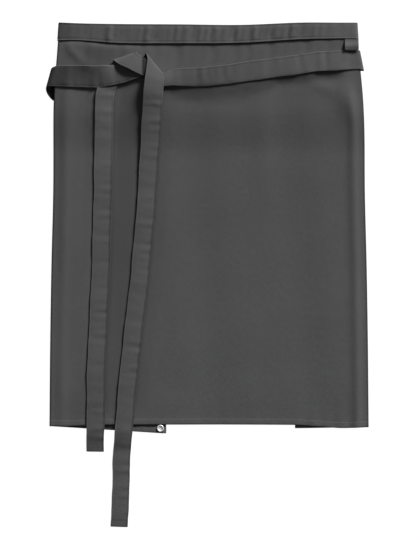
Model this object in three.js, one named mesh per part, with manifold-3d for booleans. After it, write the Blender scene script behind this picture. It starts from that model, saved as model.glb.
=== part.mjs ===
// A long waist apron lying flat, with its sides folded behind and its ties knotted in front.
// Millimetres. X runs to the right across the front, Y up toward the waistband, Z up from the floor.
// Inside the functions a place is given as across (from the front's middle) and drop (down from the waist).

import * as THREE from 'three';
import { mergeVertices } from 'three/addons/utils/BufferGeometryUtils.js';
import Module from 'manifold-3d';

const wasm = await Module();
wasm.setup();

// Cloth
const CLOTH_WALL = 1.0;
const HEM_WALL = 1.8;
const BAND_WALL = 1.0;
const TIE_WALL = 1.2;
const LABEL_WALL = 1.0;
const GAP = 0.3;
const FOLD_ROOM = 0.8;

// Skirt
const APRON_LENGTH = 795;
const FRONT_TOP_WIDTH = 592;
const FRONT_HEM_WIDTH = 631;
const LEFT_FLAP_TOP = 245;
const LEFT_FLAP_HEM = 231;
const RIGHT_FLAP_TOP = 160;
const RIGHT_FLAP_HEM = 145;
const RIGHT_FLAP_SLIP = 7;
const HEM_HEIGHT = 10.5;
const BAND_HEIGHT = 35;

// Height of the folded stack: full over the ties' back runs, low from LIFT_TO downward
const LIFT_FROM = 165;
const LIFT_TO = 260;

// Ties
const TIE_WIDTH = 36;
const TIE_ROOT_OVERLAP = 18;
const TIE_ROOT_DROP = 21;
const RIGHT_SIDE_DROP = 71;
const LEFT_SIDE_DROP = 131;
const LEFT_FRONT_DROP = 105;
const LOOP_REACH = 12;
const WRAP_REACH = 4.5;
const KNOT_ACROSS = -154.8;
const KNOT_DROP = 88;
const LONG_TAIL = 882;
const SHORT_TAIL = 717;
const TAIL_SETTLE = 60;

// Label and press stud
const LABEL_WIDTH = 27;
const LABEL_LENGTH = 23.5;
const LABEL_INSET = 1.5;
const STUD_DIAMETER = 14;
const STUD_CAP_HEIGHT = 1.2;
const STUD_RING_HEIGHT = 2.2;
const STUD_RING_WALL = 2.6;
const STUD_POST_DIAMETER = 5;
const STUD_CLEAR = 1.0;
const STUD_MARGIN = 2.3;
const STUD_INSET = 10.2;
const STUD_LIFT_FLAT = 34;
const STUD_LIFT_REACH = 100;

// Fineness of the faceted solids
const FRONT_STEPS = 22;
const LEFT_FLAP_STEPS = 8;
const RIGHT_FLAP_STEPS = 6;
const FOLD_STEPS = 6;
const TIE_ACROSS_STEPS = 2;
const STATIONS_PER_ROW = 2;
const STATION_SPACING = 17;
const ROUND_STEPS = 24;

// down is a share of the apron's length, flare the share of the widening from waist to hem
const SIDE_OUTLINE = [
  { down: 0.0, flare: 0.0 },
  { down: 0.06, flare: 0.16 },
  { down: 0.19, flare: 0.54 },
  { down: 0.42, flare: 0.62 },
  { down: 0.6, flare: 0.8 },
  { down: 0.8, flare: 0.93 },
  { down: 1.0, flare: 1.0 },
];

// at is a share of the front's width from its middle, dip and depth shares of the band's height
const WAIST_WAVE = [
  { at: -0.5, dip: -0.07, depth: 1.02 },
  { at: -0.43, dip: -0.02, depth: 0.96 },
  { at: -0.3, dip: 0.02, depth: 1.08 },
  { at: -0.09, dip: 0.04, depth: 1.08 },
  { at: 0.11, dip: 0.07, depth: 1.02 },
  { at: 0.31, dip: -0.06, depth: 0.95 },
  { at: 0.44, dip: -0.06, depth: 0.9 },
  { at: 0.5, dip: -0.06, depth: 0.9 },
];

// at is a share of the front's width from its middle, dip a share of the hem's height
const HEM_WAVE = [
  { at: -0.5, dip: 0.28 },
  { at: -0.43, dip: 0.24 },
  { at: -0.33, dip: 0.0 },
  { at: 0.26, dip: 0.0 },
  { at: 0.33, dip: 0.25 },
  { at: 0.42, dip: 0.6 },
  { at: 0.5, dip: 0.45 },
];

// A tie's sewn end lies under the waistband's end, a layer off the floor
const TIE_ROOT = { level: 1, span: 1.02, climb: 0, square: 1 };

// Back runs: run is a share of the way from the band's end to the side edge, slack a sideways share of
// the tie's width, level the layers of tie beneath it, span the width across in tie widths
const RIGHT_TIE_BACK = [
  { run: 0.1, slack: -0.05, level: 1.0, span: 1.02 },
  { run: 0.17, slack: -0.08, level: 0.1, span: 1.02 },
  { run: 0.34, slack: 0.02, level: 0, span: 1.02 },
  { run: 0.62, slack: 0.12, level: 0, span: 1.02 },
  { run: 0.86, slack: 0.04, level: 0, span: 1.02 },
];
const LEFT_TIE_BACK = [
  { run: 0.08, slack: -0.05, level: 1, span: 1.02 },
  { run: 0.22, slack: 0.0, level: 1, span: 1.02 },
  { run: 0.46, slack: 0.08, level: 1, span: 1.02 },
  { run: 0.62, slack: 0.06, level: 0.1, span: 1.02 },
  { run: 0.84, slack: 0.03, level: 0, span: 1.02 },
];

// Wraps round the side edges: out is a share of the reach past the edge, climb the share of the way up
// from the floor to the front, drop a share of the way from the back run to the front run
const RIGHT_TIE_WRAP = [
  { out: -2.4, climb: 0.0, drop: 0.0, turn: 85, span: 1.02 },
  { out: 0.1, climb: 0.04, drop: 0.2, turn: 92, span: 1.03 },
  { out: 0.8, climb: 0.22, drop: 0.35, turn: 98, span: 1.04 },
  { out: 1.0, climb: 0.5, drop: 0.5, turn: 101, span: 1.06 },
  { out: 0.8, climb: 0.8, drop: 0.65, turn: 101, span: 1.06 },
  { out: 0.1, climb: 0.98, drop: 0.8, turn: 99, span: 1.07 },
  { out: -2.4, climb: 1.0, drop: 1.0, turn: 96, span: 1.07 },
];
const LEFT_TIE_WRAP = [
  { out: -1.1, climb: 0.0, drop: 0.0, turn: -77, span: 1.03 },
  { out: 0.1, climb: 0.06, drop: 0.05, turn: -82, span: 1.04 },
  { out: 0.85, climb: 0.3, drop: 0.25, turn: -98, span: 1.08 },
  { out: 0.85, climb: 0.66, drop: 0.55, turn: -104, span: 1.12 },
  { out: 0.2, climb: 0.95, drop: 0.88, turn: -97, span: 1.14 },
  { out: -0.9, climb: 1.0, drop: 1.0, turn: -91, span: 1.16 },
];

// Front run of the right tie: run is a share of the way from the wrap to the knot
const RIGHT_TIE_FRONT = [
  { run: 0.2, slack: -0.16, level: 0, span: 1.07 },
  { run: 0.42, slack: -0.11, level: 0, span: 1.06 },
  { run: 0.66, slack: -0.02, level: 0, span: 1.06 },
  { run: 0.87, slack: 0.02, level: 0.1, span: 1.02 },
];
const LEFT_TIE_FRONT = [
  { run: 0.5, slack: 0.0, level: 0.1, span: 1.17 },
];

// The knot: right and down are tie widths from its middle, turn the angle of the line across the tie,
// span the length of that line in tie widths, level the layers of tie beneath it
const RIGHT_TIE_KNOT = [
  { right: 3.03, down: 0.5, level: 0.4, turn: 92, span: 0.99 },
  { right: 2.32, down: 0.56, level: 1.7, turn: 89, span: 0.86 },
  { right: 1.82, down: 0.66, level: 2.7, turn: 84, span: 0.7 },
  { right: 1.38, down: 0.5, level: 3.1, turn: 74, span: 0.7 },
  { right: 0.95, down: 0.1, level: 3.4, turn: 65, span: 0.88 },
  { right: 0.55, down: -0.14, level: 3.7, turn: 63, span: 0.93 },
  { right: 0.17, down: -0.34, level: 3.8, turn: 58, span: 0.95 },
  { right: -0.03, down: -0.45, level: 3.7, turn: 45, span: 1.06 },
  { right: -0.15, down: -0.53, level: 3.4, turn: 30, span: 1.21 },
  { right: -0.28, down: -0.63, level: 1.9, turn: 18.7, span: 1.34 },
  { right: -0.33, down: -0.44, level: 0.3, turn: 5, span: 1.2 },
  { right: -0.49, down: -0.14, level: 0.0, turn: -20, span: 1.02 },
  { right: -0.77, down: 0.33, level: 0.0, turn: -24, span: 0.98 },
  { right: -1.1, down: 0.83, level: 0.0, turn: -16, span: 0.98 },
  { right: -1.31, down: 1.21, level: 0.0, turn: -7, span: 0.98 },
  { right: -1.4, down: 1.76, level: 0.0, turn: -2, span: 0.98 },
];
const LEFT_TIE_KNOT = [
  { right: -1.87, down: 0.5, level: 0.7, turn: -90, span: 1.15 },
  { right: -1.38, down: 0.45, level: 1.3, turn: -86, span: 1.12 },
  { right: -0.88, down: 0.41, level: 1.5, turn: -78, span: 1.08 },
  { right: -0.41, down: 0.32, level: 1.5, turn: -68, span: 1.05 },
  { right: 0.06, down: 0.19, level: 1.5, turn: -60, span: 1.0 },
  { right: 0.5, down: 0.08, level: 1.4, turn: -54, span: 1.0 },
  { right: 0.88, down: -0.03, level: 1.3, turn: -51, span: 1.05 },
  { right: 1.17, down: -0.17, level: 1.6, turn: -50, span: 1.2 },
  { right: 1.37, down: -0.3, level: 3.4, turn: -50, span: 1.27 },
  { right: 1.28, down: -0.08, level: 5.2, turn: -42, span: 1.2 },
  { right: 1.3, down: 0.33, level: 5.4, turn: -28, span: 1.08 },
  { right: 1.3, down: 0.77, level: 5.1, turn: -14, span: 1.03 },
  { right: 1.27, down: 1.27, level: 4.1, turn: -6, span: 1.03 },
  { right: 1.21, down: 1.97, level: 2.4, turn: -2, span: 1.04 },
];

// Tails: down and aside are shares of the tail's length
const LONG_TAIL_ROWS = [
  { down: 0.07, aside: -0.005, level: 1.3, span: 1.04 },
  { down: 0.16, aside: -0.011, level: 0.6, span: 1.02 },
  { down: 0.26, aside: -0.017, level: 0.25, span: 0.99 },
  { down: 0.44, aside: -0.033, level: 0, span: 0.99 },
  { down: 0.62, aside: -0.054, level: 0, span: 0.97 },
  { down: 0.76, aside: -0.067, level: 0, span: 0.96 },
  { down: 0.8, aside: -0.0705, level: 0, span: 0.96 },
  { down: 0.84, aside: -0.0735, level: 0, span: 0.95 },
  { down: 0.9, aside: -0.0755, level: 0, span: 0.94 },
  { down: 1.0, aside: -0.079, level: 0, span: 0.93 },
];
const SHORT_TAIL_ROWS = [
  { down: 0.1, aside: -0.007, level: 0, span: 0.98 },
  { down: 0.31, aside: -0.011, level: 0, span: 0.97 },
  { down: 0.53, aside: -0.017, level: 0, span: 0.97 },
  { down: 0.75, aside: -0.027, level: 0, span: 0.99 },
  { down: 0.91, aside: -0.03, level: 0, span: 0.98 },
  { down: 1.0, aside: -0.031, level: 0, span: 0.94 },
];

// Small helpers

const mix = (a, b, share) => a + (b - a) * share;
const radians = (angle) => (angle * Math.PI) / 180;

function smoothStep(from, to, value) {
  const share = Math.min(1, Math.max(0, (value - from) / (to - from)));
  return share * share * (3 - 2 * share);
}

// count + 1 values from one end to the other
function steps(from, to, count) {
  return Array.from({ length: count + 1 }, (_, i) => mix(from, to, i / count));
}

// A smooth value of one column of a table between its rows
function along(rows, key, column, at) {
  const last = rows.length - 1;
  if (at <= rows[0][key]) return rows[0][column];
  if (at >= rows[last][key]) return rows[last][column];
  const i = rows.findIndex((row) => row[key] > at) - 1;
  const slope = (a, b) => (rows[b][column] - rows[a][column]) / (rows[b][key] - rows[a][key]);
  const width = rows[i + 1][key] - rows[i][key];
  const share = (at - rows[i][key]) / width;
  const start = slope(Math.max(0, i - 1), i + 1) * width;
  const end = slope(i, Math.min(last, i + 2)) * width;
  const rise = rows[i + 1][column] - rows[i][column];
  const bend = share * (1 - share);
  return rows[i][column] + rise * share * share * (3 - 2 * share) + bend * ((1 - share) * start - share * end);
}

// Heights of the folded stack

const TIE_PITCH = TIE_WALL + GAP;
const BAND_OFFSET = CLOTH_WALL / 2 + GAP + BAND_WALL / 2;
const BAND_STACK = CLOTH_WALL + 2 * (GAP + BAND_WALL);
const FLAP_HIGH = 2 * TIE_PITCH + BAND_STACK / 2;
const FRONT_HIGH = FLAP_HIGH + BAND_STACK + GAP + FOLD_ROOM;
const FRONT_LOW = HEM_WALL + FOLD_ROOM + HEM_WALL / 2;
const LEFT_FLAP_SLIP = STUD_DIAMETER + STUD_CLEAR + STUD_MARGIN;

// 1 over the ties' back runs, 0 from LIFT_TO downward
function raised(drop) {
  return 1 - smoothStep(LIFT_FROM, LIFT_TO, drop);
}

// How thick the skirt is, counted from its own hem
function skirtWall(fromHem) {
  return fromHem < HEM_HEIGHT ? HEM_WALL : CLOTH_WALL;
}

function frontWidth(drop) {
  const flare = along(SIDE_OUTLINE, 'down', 'flare', drop / APRON_LENGTH);
  return mix(FRONT_TOP_WIDTH, FRONT_HEM_WIDTH, flare);
}

function waistDip(across) {
  return BAND_HEIGHT * along(WAIST_WAVE, 'at', 'dip', across / FRONT_TOP_WIDTH);
}

function bandDepth(across) {
  return BAND_HEIGHT * along(WAIST_WAVE, 'at', 'depth', across / FRONT_TOP_WIDTH);
}

function frontHemDrop(across) {
  return APRON_LENGTH + HEM_HEIGHT * along(HEM_WAVE, 'at', 'dip', across / FRONT_HEM_WIDTH);
}

// The press stud sits in the left flap's corner, below the front hem
const studAcross = -FRONT_HEM_WIDTH / 2 + LEFT_FLAP_HEM - STUD_INSET;
const studDrop = frontHemDrop(studAcross) + STUD_CLEAR + STUD_DIAMETER / 2;

// The stud's cap lifts the cloth round it off the floor
function studLift(across, drop) {
  const far = Math.hypot(across - studAcross, drop - studDrop);
  return (STUD_CAP_HEIGHT + GAP) * (1 - smoothStep(STUD_LIFT_FLAT, STUD_LIFT_REACH, far));
}

function flapHeight(across, drop, wall) {
  return mix(wall / 2, FLAP_HIGH, raised(drop)) + studLift(across, drop);
}

function frontHeight(across, drop) {
  return mix(FRONT_LOW, FRONT_HIGH, raised(drop)) + studLift(across, drop);
}

// The skirt's columns, from the left flap's free edge round both folds to the right flap's

function skirtColumns() {
  const zone = (name, count, from) => steps(0, 1, count).slice(from).map((share) => ({ name, share }));
  return [
    ...zone('leftFlap', LEFT_FLAP_STEPS, 0),
    ...zone('leftFold', FOLD_STEPS, 1),
    ...zone('front', FRONT_STEPS, 1),
    ...zone('rightFold', FOLD_STEPS, 1),
    ...zone('rightFlap', RIGHT_FLAP_STEPS, 1),
  ];
}

// The middle surface of the skirt's cloth at one column and drop
function skirtPoint(column, drop, wall) {
  const half = frontWidth(drop) / 2 - wall / 2;
  const down = drop / APRON_LENGTH;
  const side = column.name.startsWith('left') ? -1 : 1;
  const high = frontHeight(side * half, drop);
  const low = flapHeight(side * half, drop, wall);
  const radius = (high - low) / 2;
  const axis = half - radius;
  if (column.name === 'front') {
    const across = mix(-axis, axis, column.share);
    return { across, height: frontHeight(across, drop) };
  }
  if (column.name.endsWith('Fold')) {
    const angle = Math.PI * (side < 0 ? column.share : 1 - column.share);
    const across = side * (axis + radius * Math.sin(angle));
    return { across, height: (high + low) / 2 - radius * Math.cos(angle) };
  }
  const widths = side < 0 ? [LEFT_FLAP_TOP, LEFT_FLAP_HEM] : [RIGHT_FLAP_TOP, RIGHT_FLAP_HEM];
  const inner = half - mix(widths[0], widths[1], down);
  const across = side * mix(inner, axis, side < 0 ? column.share : 1 - column.share);
  return { across, height: flapHeight(across, drop, wall) };
}

// How far a column's own hem hangs below the front's
function hemDrop(column, across) {
  if (!column.name.endsWith('Flap')) return frontHemDrop(across);
  const fromFold = column.name === 'leftFlap' ? 1 - column.share : column.share;
  const slip = column.name === 'leftFlap' ? LEFT_FLAP_SLIP : RIGHT_FLAP_SLIP;
  const side = column.name === 'leftFlap' ? -1 : 1;
  return mix(frontHemDrop((side * FRONT_HEM_WIDTH) / 2), APRON_LENGTH + slip, fromFold);
}

// Solids from sheets

// Closes a grid of middle points into a solid of the given wall, wall(row, column)
function sheetSolid(grid, wall) {
  const rows = grid.length;
  const columns = grid[0].length;
  const faces = [[], []];
  for (let i = 0; i < rows; i += 1) {
    for (let j = 0; j < columns; j += 1) {
      const alongRow = grid[i][Math.min(columns - 1, j + 1)].clone().sub(grid[i][Math.max(0, j - 1)]);
      const downColumn = grid[Math.min(rows - 1, i + 1)][j].clone().sub(grid[Math.max(0, i - 1)][j]);
      const normal = alongRow.cross(downColumn).normalize();
      faces[0].push(grid[i][j].clone().addScaledVector(normal, wall(i, j) / 2));
      faces[1].push(grid[i][j].clone().addScaledVector(normal, -wall(i, j) / 2));
    }
  }
  const points = [...faces[0], ...faces[1]];
  const index = [];
  const at = (face, i, j) => face * rows * columns + i * columns + j;
  const quad = (a, b, c, d) => index.push(a, b, c, a, c, d);
  for (let i = 0; i + 1 < rows; i += 1) {
    for (let j = 0; j + 1 < columns; j += 1) {
      quad(at(0, i, j), at(0, i, j + 1), at(0, i + 1, j + 1), at(0, i + 1, j));
      quad(at(1, i, j), at(1, i + 1, j), at(1, i + 1, j + 1), at(1, i, j + 1));
    }
    quad(at(0, i, 0), at(0, i + 1, 0), at(1, i + 1, 0), at(1, i, 0));
    quad(at(0, i, columns - 1), at(1, i, columns - 1), at(1, i + 1, columns - 1), at(0, i + 1, columns - 1));
  }
  for (let j = 0; j + 1 < columns; j += 1) {
    quad(at(0, 0, j), at(1, 0, j), at(1, 0, j + 1), at(0, 0, j + 1));
    quad(at(0, rows - 1, j), at(0, rows - 1, j + 1), at(1, rows - 1, j + 1), at(1, rows - 1, j));
  }
  return solidGeometry(points, index);
}

// A geometry whose faces point out, from points and triangle indices
function solidGeometry(points, index) {
  let volume = 0;
  for (let t = 0; t < index.length; t += 3) {
    const [a, b, c] = [points[index[t]], points[index[t + 1]], points[index[t + 2]]];
    volume += a.dot(b.clone().cross(c));
  }
  const order = volume < 0 ? index.slice().reverse() : index;
  const geometry = new THREE.BufferGeometry();
  geometry.setAttribute('position', new THREE.Float32BufferAttribute(points.flatMap((p) => p.toArray()), 3));
  geometry.setIndex(order);
  return geometry;
}

// Merges a geometry's corners, so that it can be cut
function toManifold(geometry) {
  const bare = geometry.clone();
  bare.deleteAttribute('normal');
  bare.deleteAttribute('uv');
  const merged = mergeVertices(bare, 1e-5);
  const vertProperties = new Float32Array(merged.getAttribute('position').array);
  const triVerts = new Uint32Array(merged.getIndex().array);
  return new wasm.Manifold(new wasm.Mesh({ numProp: 3, vertProperties, triVerts }));
}

function fromManifold(solid) {
  const mesh = solid.getMesh();
  const geometry = new THREE.BufferGeometry();
  geometry.setAttribute('position', new THREE.BufferAttribute(mesh.vertProperties, 3));
  geometry.setIndex(new THREE.BufferAttribute(mesh.triVerts, 1));
  return geometry;
}

// Skirt and waistband

// Rows of the skirt as a drop below the waist and, near the hem, a distance from the hem
function skirtRows() {
  const hemEdge = 0.4;
  const upper = [
    ...steps(0, BAND_HEIGHT, 2),
    ...steps(BAND_HEIGHT, LIFT_FROM, 3).slice(1),
    ...steps(LIFT_FROM, LIFT_TO, 5).slice(1),
    ...steps(LIFT_TO, APRON_LENGTH - STUD_LIFT_REACH, 5).slice(1),
    ...steps(APRON_LENGTH - STUD_LIFT_REACH, APRON_LENGTH - STUD_LIFT_FLAT, 4).slice(1),
  ].map((drop) => ({ share: drop / APRON_LENGTH }));
  const lower = [HEM_HEIGHT + hemEdge, HEM_HEIGHT - hemEdge, HEM_HEIGHT / 2, 0];
  return [...upper, ...lower.map((fromHem) => ({ fromHem }))];
}

function makeSkirt() {
  const columns = skirtColumns();
  const top = BAND_WALL / 2 + BAND_OFFSET;
  const walls = [];
  const grid = skirtRows().map((row) => {
    const fromHem = row.fromHem ?? Infinity;
    const wall = skirtWall(fromHem);
    walls.push(wall);
    return columns.map((column) => {
      const nominal = row.fromHem === undefined ? row.share * APRON_LENGTH : APRON_LENGTH - row.fromHem;
      const { across, height } = skirtPoint(column, nominal, wall);
      const start = waistDip(across) + top;
      const hem = hemDrop(column, across);
      const drop = row.fromHem === undefined ? mix(start, hem, row.share) : hem - row.fromHem;
      return new THREE.Vector3(across, -drop, height);
    });
  });
  return sheetSolid(grid, (i) => walls[i]);
}

// The stud's post passes through a hole in the skirt's left flap
function cutStudHole(skirt) {
  const drill = new THREE.CylinderGeometry(
    STUD_POST_DIAMETER / 2 + GAP,
    STUD_POST_DIAMETER / 2 + GAP,
    4 * (HEM_WALL + STUD_CAP_HEIGHT),
    ROUND_STEPS,
  );
  drill.rotateX(Math.PI / 2);
  drill.translate(studAcross, -studDrop, 0);
  return fromManifold(toManifold(skirt).subtract(toManifold(drill)));
}

// A strip folded over the skirt's top edge, all the way round both side folds
function makeBand() {
  const columns = skirtColumns();
  const sides = [1, 0.6, 0.2];
  const turns = steps(0, Math.PI, 4);
  const turnDrop = BAND_WALL / 2 + BAND_OFFSET;
  const grid = columns.map((column, i) => {
    const dip = waistDip(skirtPoint(column, 0, CLOTH_WALL).across);
    const depth = bandDepth(skirtPoint(column, 0, CLOTH_WALL).across);
    const point = (offset, drop) => {
      const below = Math.max(0, drop - turnDrop);
      const here = skirtPoint(column, below, CLOTH_WALL);
      const before = skirtPoint(columns[Math.max(0, i - 1)], below, CLOTH_WALL);
      const after = skirtPoint(columns[Math.min(columns.length - 1, i + 1)], below, CLOTH_WALL);
      const run = new THREE.Vector2(after.across - before.across, after.height - before.height).normalize();
      return new THREE.Vector3(here.across - run.y * offset, -(dip + drop), here.height + run.x * offset);
    };
    return [
      ...sides.map((share) => point(BAND_OFFSET, mix(turnDrop, depth, share))),
      ...turns.map((angle) => point(BAND_OFFSET * Math.cos(angle), turnDrop - BAND_OFFSET * Math.sin(angle))),
      ...sides.toReversed().map((share) => point(-BAND_OFFSET, mix(turnDrop, depth, share))),
    ];
  });
  return sheetSolid(grid, () => BAND_WALL);
}

// Ties

// The height of a tie's middle lying on the front, and past the hem down to the floor
function frontRest(across, drop) {
  const hem = frontHemDrop(across);
  const onHem = ((HEM_WALL - CLOTH_WALL) / 2) * smoothStep(hem - 3 * HEM_HEIGHT, hem - HEM_HEIGHT, drop);
  const onFront = frontHeight(across, Math.min(drop, hem)) + CLOTH_WALL / 2 + onHem + GAP + TIE_WALL / 2;
  return mix(onFront, TIE_WALL / 2, smoothStep(hem + LEFT_FLAP_SLIP / 2, hem + TAIL_SETTLE, drop));
}

// Station rows of a straight run between two places, with a sideways slack
function runRows(rows, start, end, climb) {
  return rows.map((row) => ({
    ...row,
    across: mix(start.across, end.across, row.run),
    drop: mix(start.drop, end.drop, row.run) + row.slack * TIE_WIDTH,
    climb,
    square: climb ? -1 : 1,
  }));
}

function wrapRows(rows, side, reach, backDrop, frontDrop) {
  return rows.map((row) => {
    const drop = mix(backDrop, frontDrop, row.drop);
    return { ...row, across: side * (frontWidth(drop) / 2 + reach * row.out), drop, level: 0 };
  });
}

function knotRows(rows) {
  return rows.map((row) => ({
    ...row,
    across: KNOT_ACROSS + row.right * TIE_WIDTH,
    drop: KNOT_DROP + row.down * TIE_WIDTH,
    climb: 1,
  }));
}

function tailRows(rows, start, length) {
  return rows.map((row) => ({
    ...row,
    across: start.across + row.aside * length,
    drop: start.drop + row.down * length,
    climb: 1,
    square: 1,
  }));
}

// Gives rows without a turn the direction square to the tie's way: the line across points to the left
// of the way where square is 1, and to its right where it is -1
function withTurns(rows) {
  return rows.map((row, i) => {
    if (row.turn !== undefined) return row;
    const before = rows[Math.max(0, i - 1)];
    const after = rows[Math.min(rows.length - 1, i + 1)];
    const way = Math.atan2(before.drop - after.drop, after.across - before.across) * (180 / Math.PI);
    const turn = way + 90 * row.square;
    const near = rows.slice(0, i).findLast((other) => other.turn !== undefined)
      ?? rows.find((other) => other.turn !== undefined);
    return { ...row, turn: turn + 360 * Math.round((near.turn - turn) / 360) };
  });
}

// Where the stations of a tie lie, counted in rows: close together where the rows are far apart
function stationPlaces(rows) {
  return rows.slice(1).reduce((places, row, i) => {
    const far = Math.hypot(row.across - rows[i].across, row.drop - rows[i].drop);
    const count = Math.max(STATIONS_PER_ROW, Math.ceil(far / STATION_SPACING));
    return [...places, ...steps(i, i + 1, count).slice(1)];
  }, [0]);
}

// A ribbon through the rows, as a smooth sheet of straight lines across
function makeTie(rows) {
  const marked = withTurns(rows).map((row, i) => ({ ...row, at: i }));
  const grid = stationPlaces(marked).map((at) => {
    const value = (column) => along(marked, 'at', column, at);
    const half = (value('span') * TIE_WIDTH) / 2;
    const angle = radians(value('turn'));
    return steps(-1, 1, TIE_ACROSS_STEPS).map((side) => {
      const across = value('across') + side * half * Math.cos(angle);
      const drop = value('drop') - side * half * Math.sin(angle);
      const rest = mix(TIE_WALL / 2, frontRest(across, drop), value('climb'));
      return new THREE.Vector3(across, -drop, rest + TIE_PITCH * value('level'));
    });
  });
  return sheetSolid(grid, () => TIE_WALL);
}

function makeRightTie() {
  const bandEnd = -FRONT_TOP_WIDTH / 2 + LEFT_FLAP_TOP;
  const root = { across: bandEnd - TIE_ROOT_OVERLAP, drop: TIE_ROOT_DROP };
  const wrap = wrapRows(RIGHT_TIE_WRAP, 1, WRAP_REACH, RIGHT_SIDE_DROP, RIGHT_SIDE_DROP);
  const knot = knotRows(RIGHT_TIE_KNOT);
  return makeTie([
    { ...root, ...TIE_ROOT },
    ...runRows(RIGHT_TIE_BACK, root, wrap[0], 0),
    ...wrap,
    ...runRows(RIGHT_TIE_FRONT, wrap.at(-1), knot[0], 1),
    ...knot,
    ...tailRows(SHORT_TAIL_ROWS, knot.at(-2), SHORT_TAIL),
  ]);
}

function makeLeftTie() {
  const bandEnd = FRONT_TOP_WIDTH / 2 - RIGHT_FLAP_TOP;
  const root = { across: bandEnd + TIE_ROOT_OVERLAP, drop: TIE_ROOT_DROP };
  const wrap = wrapRows(LEFT_TIE_WRAP, -1, LOOP_REACH, LEFT_SIDE_DROP, LEFT_FRONT_DROP);
  const knot = knotRows(LEFT_TIE_KNOT);
  return makeTie([
    { ...root, ...TIE_ROOT },
    ...runRows(LEFT_TIE_BACK, root, wrap[0], 0),
    ...wrap,
    ...runRows(LEFT_TIE_FRONT, wrap.at(-1), knot[0], 1),
    ...knot,
    ...tailRows(LONG_TAIL_ROWS, knot.at(-3), LONG_TAIL),
  ]);
}

// Label and press stud

// A small tab hanging from the band's seam at the right side, over the tie's upper edge
function makeLabel() {
  const right = frontWidth(BAND_HEIGHT + LABEL_LENGTH) / 2 - LABEL_INSET;
  const top = waistDip(right) + bandDepth(right) + GAP;
  const low = frontHeight(right, top) + CLOTH_WALL / 2 + GAP + LABEL_WALL / 2;
  const grid = [0, 0.35, 0.7, 1].map((down) => {
    const height = low + (TIE_WALL + GAP) * smoothStep(0, 0.7, down);
    return [right - LABEL_WIDTH, right].map((across) => (
      new THREE.Vector3(across, -(top + down * LABEL_LENGTH), height)
    ));
  });
  return sheetSolid(grid, () => LABEL_WALL);
}

// Turns a profile of [radius, height] about the stud's axis
function makeRound(profile) {
  const lathe = new THREE.LatheGeometry(profile.map(([r, z]) => new THREE.Vector2(r, z)), ROUND_STEPS);
  lathe.rotateX(Math.PI / 2);
  lathe.translate(studAcross, -studDrop, 0);
  return fromManifold(toManifold(lathe));
}

const studClothTop = STUD_CAP_HEIGHT + GAP + HEM_WALL;

// The outer cap under the flap, with the rivet post that passes up through it
function makeStudCap() {
  const radius = STUD_DIAMETER / 2;
  const post = STUD_POST_DIAMETER / 2;
  const edge = STUD_CAP_HEIGHT / 2;
  const tip = studClothTop + GAP + STUD_RING_HEIGHT / 2;
  return makeRound([
    [0, 0], [radius - edge, 0], [radius, edge], [radius, STUD_CAP_HEIGHT],
    [post, STUD_CAP_HEIGHT], [post, tip - edge], [post - edge, tip], [0, tip],
  ]);
}

// The socket ring on the flap's inner face, round the post
function makeStudSocket() {
  const radius = STUD_DIAMETER / 2;
  const inner = radius - STUD_RING_WALL;
  const low = studClothTop + GAP;
  const high = low + STUD_RING_HEIGHT;
  const base = STUD_POST_DIAMETER / 2 + GAP;
  const floor = low + STUD_RING_HEIGHT / 4;
  const edge = STUD_RING_HEIGHT / 3;
  return makeRound([
    [base, low], [radius, low], [radius, high - edge], [radius - edge, high], [inner + edge, high],
    [inner, high - edge], [inner, floor], [base, floor], [base, low],
  ]);
}

// Assembly

const charcoal = { color: 0x4c4c4d, roughness: 0.92, metalness: 0 };
const nickel = { color: 0xc9cbcd, roughness: 0.3, metalness: 0.9 };
const pieces = {
  skirt_panel: [cutStudHole(makeSkirt()), charcoal],
  waistband: [makeBand(), charcoal],
  left_tie: [makeLeftTie(), charcoal],
  right_tie: [makeRightTie(), charcoal],
  label_tab: [makeLabel(), { color: 0x2b2b2d, roughness: 0.8, metalness: 0 }],
  snap_cap: [makeStudCap(), nickel],
  snap_socket: [makeStudSocket(), nickel],
};

const apron = new THREE.Group();
for (const [name, [geometry, finish]] of Object.entries(pieces)) {
  const flat = geometry.toNonIndexed();
  flat.computeVertexNormals();
  const mesh = new THREE.Mesh(flat, new THREE.MeshStandardMaterial(finish));
  mesh.name = name;
  apron.add(mesh);
}

// The origin is under the middle of everything, on the floor
const extent = new THREE.Box3().setFromObject(apron);
const middle = extent.getCenter(new THREE.Vector3());
apron.position.set(-middle.x, -middle.y, -extent.min.z);

export default apron;
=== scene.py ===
"""Dresses the folded waist apron: cloth, topstitching, label tab, press stud, floor, light and camera."""

from __future__ import annotations

import logging
import math
from collections.abc import Sequence
from dataclasses import dataclass, field, replace
from enum import Enum

import bpy
import numpy as np
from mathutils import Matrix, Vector


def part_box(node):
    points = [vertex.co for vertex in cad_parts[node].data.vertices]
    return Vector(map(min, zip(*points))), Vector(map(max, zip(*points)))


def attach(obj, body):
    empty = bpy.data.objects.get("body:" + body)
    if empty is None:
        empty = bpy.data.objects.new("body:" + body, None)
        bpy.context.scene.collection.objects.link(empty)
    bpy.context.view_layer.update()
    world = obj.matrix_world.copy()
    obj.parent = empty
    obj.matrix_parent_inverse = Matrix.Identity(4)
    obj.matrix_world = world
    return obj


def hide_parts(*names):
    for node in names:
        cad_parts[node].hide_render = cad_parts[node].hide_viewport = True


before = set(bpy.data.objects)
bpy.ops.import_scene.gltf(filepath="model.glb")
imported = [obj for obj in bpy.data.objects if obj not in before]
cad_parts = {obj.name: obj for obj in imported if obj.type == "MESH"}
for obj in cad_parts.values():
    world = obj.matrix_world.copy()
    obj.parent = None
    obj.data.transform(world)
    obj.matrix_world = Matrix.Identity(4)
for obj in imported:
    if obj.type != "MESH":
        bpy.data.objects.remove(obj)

LOG = logging.getLogger("apron")
MM = 0.001
FAR = 1e6  # millimetres, further than any place on the apron
RIM_REACH = 0.8  # how far a sheet's rounded edge stands out, as a share of half its wall
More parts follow.
